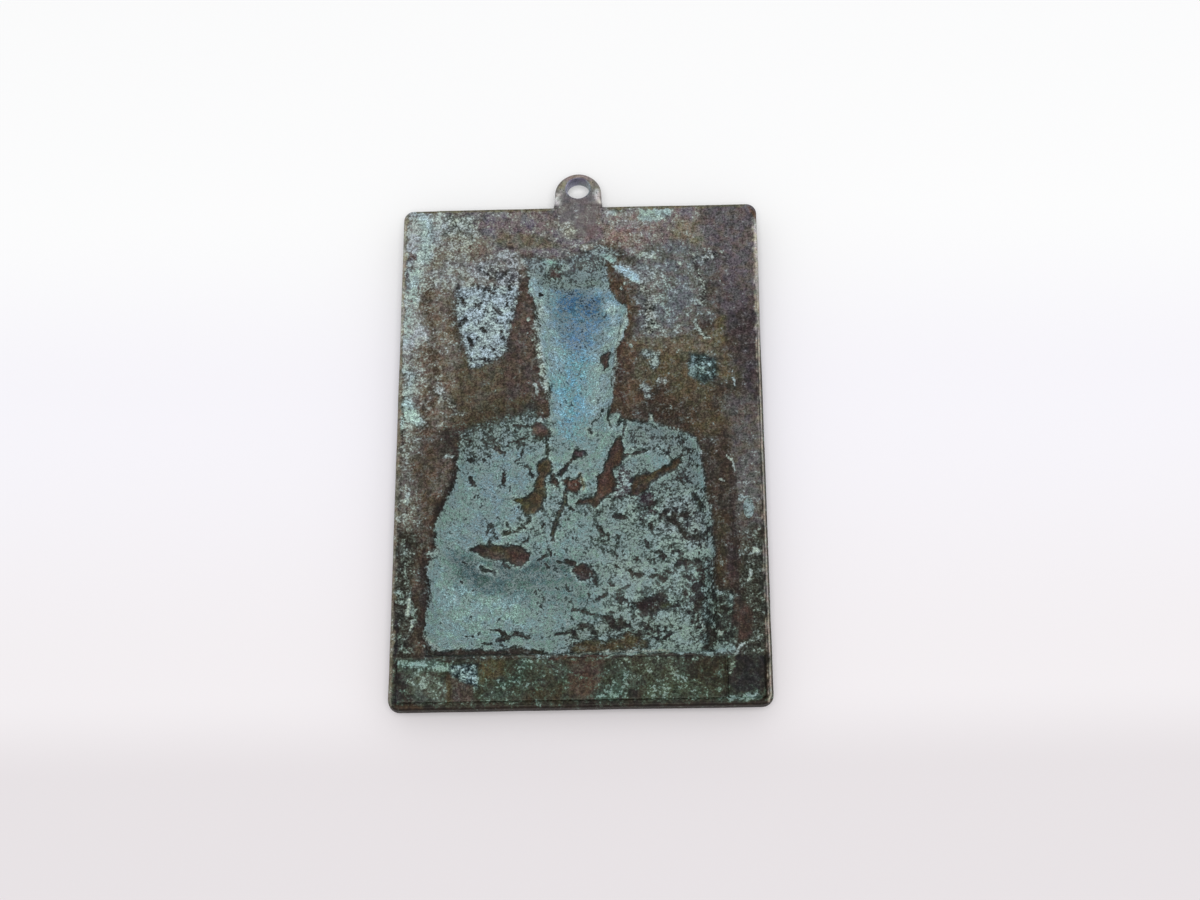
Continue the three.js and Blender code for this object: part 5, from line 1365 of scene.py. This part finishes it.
# The bore's tones: left, right, shade. Then where its paint starts, where left turns to right, and
# where the shade lies below the top and on both sides of the middle.
BORE_TONES = [(150, 149, 168), (156, 167, 174), (108, 105, 124)]
BORE_EDGE, BORE_BLEND, SHADE_BELOW, SHADE_HALF = (0.3, 0.2), (-0.8, 1.4), (1.0, 0.2), 1.9
EYE_PAINT = area(rectangle(-5.5, 45.1, 5.5, 53), 0.2, 0.0, (112, 108, 108), (136, 138, 136))
LUG_LOOK = {"speckled": 1.2, "contrast": 0.45, "shine": 0.36}
# The tang: its low ground, how it fades in from its foot and its sides, where the neck starts, how far
# it drops behind the eye, how it gets rougher downwards, its round corners and its grid
TANG = {"ground": 0.2, "foot": (0.1, 3.0), "side": (0.0, 0.9), "neck": (-1.7, -1.1), "drop": 0.35,
        "drop_from": 0.1, "rough": (1.2, 2), "corner": 0.8, "grid": 0.2}


def eye_outline():
    """The eye's outline, round from the right end of its foot."""
    neck = np.linspace(0, 1, NECK_POINTS, endpoint=False)
    out, up = LUG_RADIUS + NECK_FLARE * (1 - neck) ** 2, EYE_FOOT + (EYE_Y - EYE_FOOT) * neck
    angle = np.linspace(0, math.pi, ARC_POINTS)
    across = np.concatenate([out, LUG_RADIUS * np.cos(angle), -out[::-1]])
    y = np.concatenate([up, EYE_Y + LUG_RADIUS * np.sin(angle), up[::-1]])
    foot = np.linspace(across[-1], across[0], FOOT_POINTS)[1:-1]
    x, y = np.concatenate([across, foot]), np.concatenate([y, np.full(len(foot), EYE_FOOT)])
    return np.stack([LUG_X + x, y], 1)


def eye_mesh():
    """A ring of round-edged metal between the bore and the eye's outline."""
    centre = np.array([LUG_X, BORE_Y])
    out = eye_outline() - centre
    reach = np.hypot(out[:, 0], out[:, 1])
    way = out / reach[:, None]
    width = reach - BORE_RADIUS
    rows = []

    def add_row(across, level):
        ring = centre[:, None] + way.T * (BORE_RADIUS + across)
        rows.append(np.stack([*ring, np.broadcast_to(level, width.shape)], -1))

    def add_edge(outside, level, side, turn):
        rounding = np.minimum(EYE_ROUNDING if outside else BORE_ROUNDING, THIN_ROUNDING * width)
        middle = width - rounding if outside else rounding
        for angle in np.radians(np.linspace(turn, turn - 90, EDGE_POINTS)):
            add_row(middle + rounding * math.cos(angle), level - side * rounding + rounding * math.sin(angle))

    for start, level, side, turn in ((0, LUG_HIGH, 1, 180), (1, LUG_LOW, -1, 0)):
        add_edge(start, level, side, turn)
        for part in FLAT_SHARES:
            share = 1 - part if start else part
            add_row(BORE_ROUNDING + (width - BORE_ROUNDING - EYE_ROUNDING) * share, level)
        add_edge(not start, level, side, turn - 90)
    ring = np.stack(rows, 1)
    return ring.reshape(-1, 3), ring_quads(*ring.shape[:2], reverse=True)


def make_lug():
    eye, eye_quads = eye_mesh()
    box = (LUG_X - TANG_WIDTH / 2, LUG_BOX[1], LUG_X + TANG_WIDTH / 2, TANG_HEAD)
    ground = BORDER_BACK + TANG["ground"]

    def top(x, y):
        ends = smoothstep(y - box[1], *TANG["foot"])
        sides = smoothstep(TANG_WIDTH / 2 - np.abs(x - LUG_X), *TANG["side"])
        sides = np.maximum(sides, smoothstep(y - HALF_Y, *TANG["neck"]))
        level = LUG_HIGH - TANG["drop"] * smoothstep(y, HALF_Y + TANG["drop_from"], TANG_HEAD)
        rough_from, rough_over = TANG["rough"]
        rough = worn(x, y, *TANG_WAVE) * smoothstep(HALF_Y - rough_from - y, 0, rough_over)
        return ground + (level - ground - rough) * ends * sides

    upper, lower, tang_quads = closed_sheet(box, TANG["grid"], TANG["corner"], top)
    tang = np.concatenate([upper, lower])
    across = eye[:, 0] - LUG_X
    left, right, shaded = (plain_paint(len(eye), 0.0, tone, tone) for tone in BORE_TONES)
    shade = smoothstep(eye[:, 2], *(LUG_HIGH - below for below in SHADE_BELOW))
    shade *= smoothstep(SHADE_HALF - np.abs(across), 0, 1)
    bore_paint = merged(merged(left, right, smoothstep(across, *BORE_BLEND)), shaded, shade)
    bore = smoothstep(BORE_RADIUS + BORE_EDGE[0] - np.hypot(across, eye[:, 1] - BORE_Y), 0, BORE_EDGE[1])
    eye_paint = merged(painted(eye, [EYE_PAINT, *LUG_PAINT]), bore_paint, bore)
    points = np.concatenate([eye, tang])
    quads = np.concatenate([eye_quads, tang_quads + len(eye)])
    paint = stacked(eye_paint, painted(tang, BACK_PAINT))
    return add_piece("lug", points, quads, paint, "lug_bronze", "hanging_lug", **LUG_LOOK)


# Grid lines within a sheet's soft edge as shares of it, and the seed of its pits after the sheet's
SHEET_STEPS, PITS_SEED = (0, 0.1, 0.3, 0.6, 1), 5
DROP = {"fullness": 2.4, "edge": 0.6, "round": 0.49, "grid": 0.12}


def make_sheet(name, node, slot, box, high, radius, edge, seed):
    """A thin sheet on the border's back, uneven, with a soft edge."""
    def top(x, y):
        inset = np.minimum(np.minimum(x - box[0], box[2] - x), np.minimum(y - box[1], box[3] - y))
        side = np.sqrt(np.clip(1 - (1 - np.clip(inset / edge, 0, 1)) ** 2, 0, 1))
        uneven = worn(x, y, *SHEET_WAVE, seed) + pits(x, y, *SHEET_PITS, seed + PITS_SEED)
        return BORDER_BACK + (high - BORDER_BACK - uneven) * side

    steps = [edge * share for share in SHEET_STEPS]
    upper, lower, quads = closed_sheet(box, GRID, radius, top, edge=steps)
    paint = stacked(painted(upper, BACK_PAINT), plain_paint(len(lower), **SHEET_UNDER))
    return add_piece(name, np.concatenate([upper, lower]), quads, paint, slot, node)


def make_drop(name, node, box, seed, **paint):
    """A drop of solder, as a low uneven dome."""
    left, bottom, right, top = box

    def level(x, y):
        out = np.hypot((2 * x - left - right) / (right - left), (2 * y - bottom - top) / (top - bottom))
        rise = dome(np.minimum(1, out), DROP["fullness"], DROP["edge"])
        uneven = 1 - DROP_WAVE[0] + wave(x, y, *DROP_WAVE, seed)
        return BORDER_BACK + (SOLDER_TOP - BORDER_BACK) * rise * uneven

    radius = min(right - left, top - bottom) * DROP["round"]
    upper, lower, quads = closed_sheet(box, DROP["grid"], radius, level)
    points = np.concatenate([upper, lower])
    return add_piece(name, points, quads, plain_paint(len(points), **paint), "solder", node, contrast=0.6)


# Surroundings. The floor's tones from near to far, a painted falloff of the light that whitens away from
# the camera: the stretch of Y over which each comes in, and its colour.
FLOOR_NEAR, FLOOR_SIZE = (232, 227, 229), 4.0
FLOOR_TONES = [(-58, -43, (244, 240, 242)), (-43, 8, (249, 247, 252)), (8, 46, (255, 255, 255))]
SKY_COLOR, SKY_STRENGTH = (0.97, 0.985, 1.0, 1), 0.56
SENSOR_MM, LENS_MM, CLIP_START = 36, 75, 0.01


def make_floor():
    """A pale floor, painted whiter away from the camera as a falloff of the light, and clear from below so
    that the front can be seen.
    """
    g = Graph("floor")
    y = g.add("ShaderNodeSeparateXYZ", g.place).outputs["Y"]
    color = node_color(*FLOOR_NEAR)
    for start, stop, tone in FLOOR_TONES:
        color = g.mix(g.span(y, start, stop), color, node_color(*tone))
    surface = g.add("ShaderNodeBsdfDiffuse", Color=color)
    clear = g.add("ShaderNodeBsdfTransparent")
    side = g.add("ShaderNodeNewGeometry")
    mixed = g.add("ShaderNodeMixShader", side.outputs["Backfacing"], surface.outputs[0], clear.outputs[0])
    g.add("ShaderNodeOutputMaterial", mixed.outputs[0])
    bpy.ops.mesh.primitive_plane_add(size=FLOOR_SIZE, location=(0, 0, 0))
    floor = bpy.context.active_object
    floor.name = "floor"
    floor.data.materials.append(g.material)
    return floor


def make_light(name, place, target, size, power, color):
    """A round area light that points at its target."""
    data = bpy.data.lights.new(name, "AREA")
    data.shape = "DISK"
    data.size = size
    data.energy = power
    data.color = color
    light = bpy.data.objects.new(name, data)
    light.location = place
    light.rotation_mode = "QUATERNION"
    light.rotation_quaternion = (Vector(target) - Vector(place)).to_track_quat("-Z", "Y")
    bpy.context.scene.collection.objects.link(light)
    return light


def make_world():
    world = bpy.data.worlds.new("sky")
    bpy.context.scene.world = world
    world.use_nodes = True
    background = world.node_tree.nodes["Background"]
    background.inputs["Color"].default_value = SKY_COLOR
    background.inputs["Strength"].default_value = SKY_STRENGTH


def make_camera():
    """The photo's camera, from its place and directions over the plaque."""
    data = bpy.data.cameras.new("photo_camera")
    data.sensor_width = SENSOR_MM
    data.lens = LENS_MM
    data.clip_start = CLIP_START
    camera = bpy.data.objects.new("photo_camera", data)
    place = (Vector(CAMERA_PLACE) + Vector(MIDDLE) + Vector((0, 0, OUTLINE_LEVEL))) * METRE
    turn = Matrix((CAMERA_RIGHT, -Vector(CAMERA_DOWN), -Vector(CAMERA_FORWARD))).transposed()
    camera.matrix_world = Matrix.Translation(place) @ turn.to_4x4()
    bpy.context.scene.collection.objects.link(camera)
    bpy.context.scene.camera = camera


make_relief_plate()
make_rim()
make_lug()
make_sheet("strip", "foot_strip", "strip_bronze", STRIP_BOX, STRIP_TOP, radius=0.3, edge=0.1, seed=91)
make_sheet("patch", "corner_patch", "patch_bronze", PATCH_BOX, PATCH_TOP, radius=0.6, edge=0.22, seed=95)
make_drop("tang_solder", "lug_solder", TANG_SOLDER_BOX, 97,
          cover=0.5, metal=(112, 108, 100), crust=(146, 146, 136))
make_drop("side_solder", "edge_solder", EDGE_SOLDER_BOX, 99,
          cover=0.8, metal=(90, 96, 92), crust=(112, 128, 128))
make_floor()
make_world()
make_light("window", (0.1, -0.8, 1.9), target=(0, 0, 0), size=1.2, power=22.0, color=(1.0, 0.985, 0.975))
make_camera()
bpy.context.scene.view_settings.view_transform = "Standard"
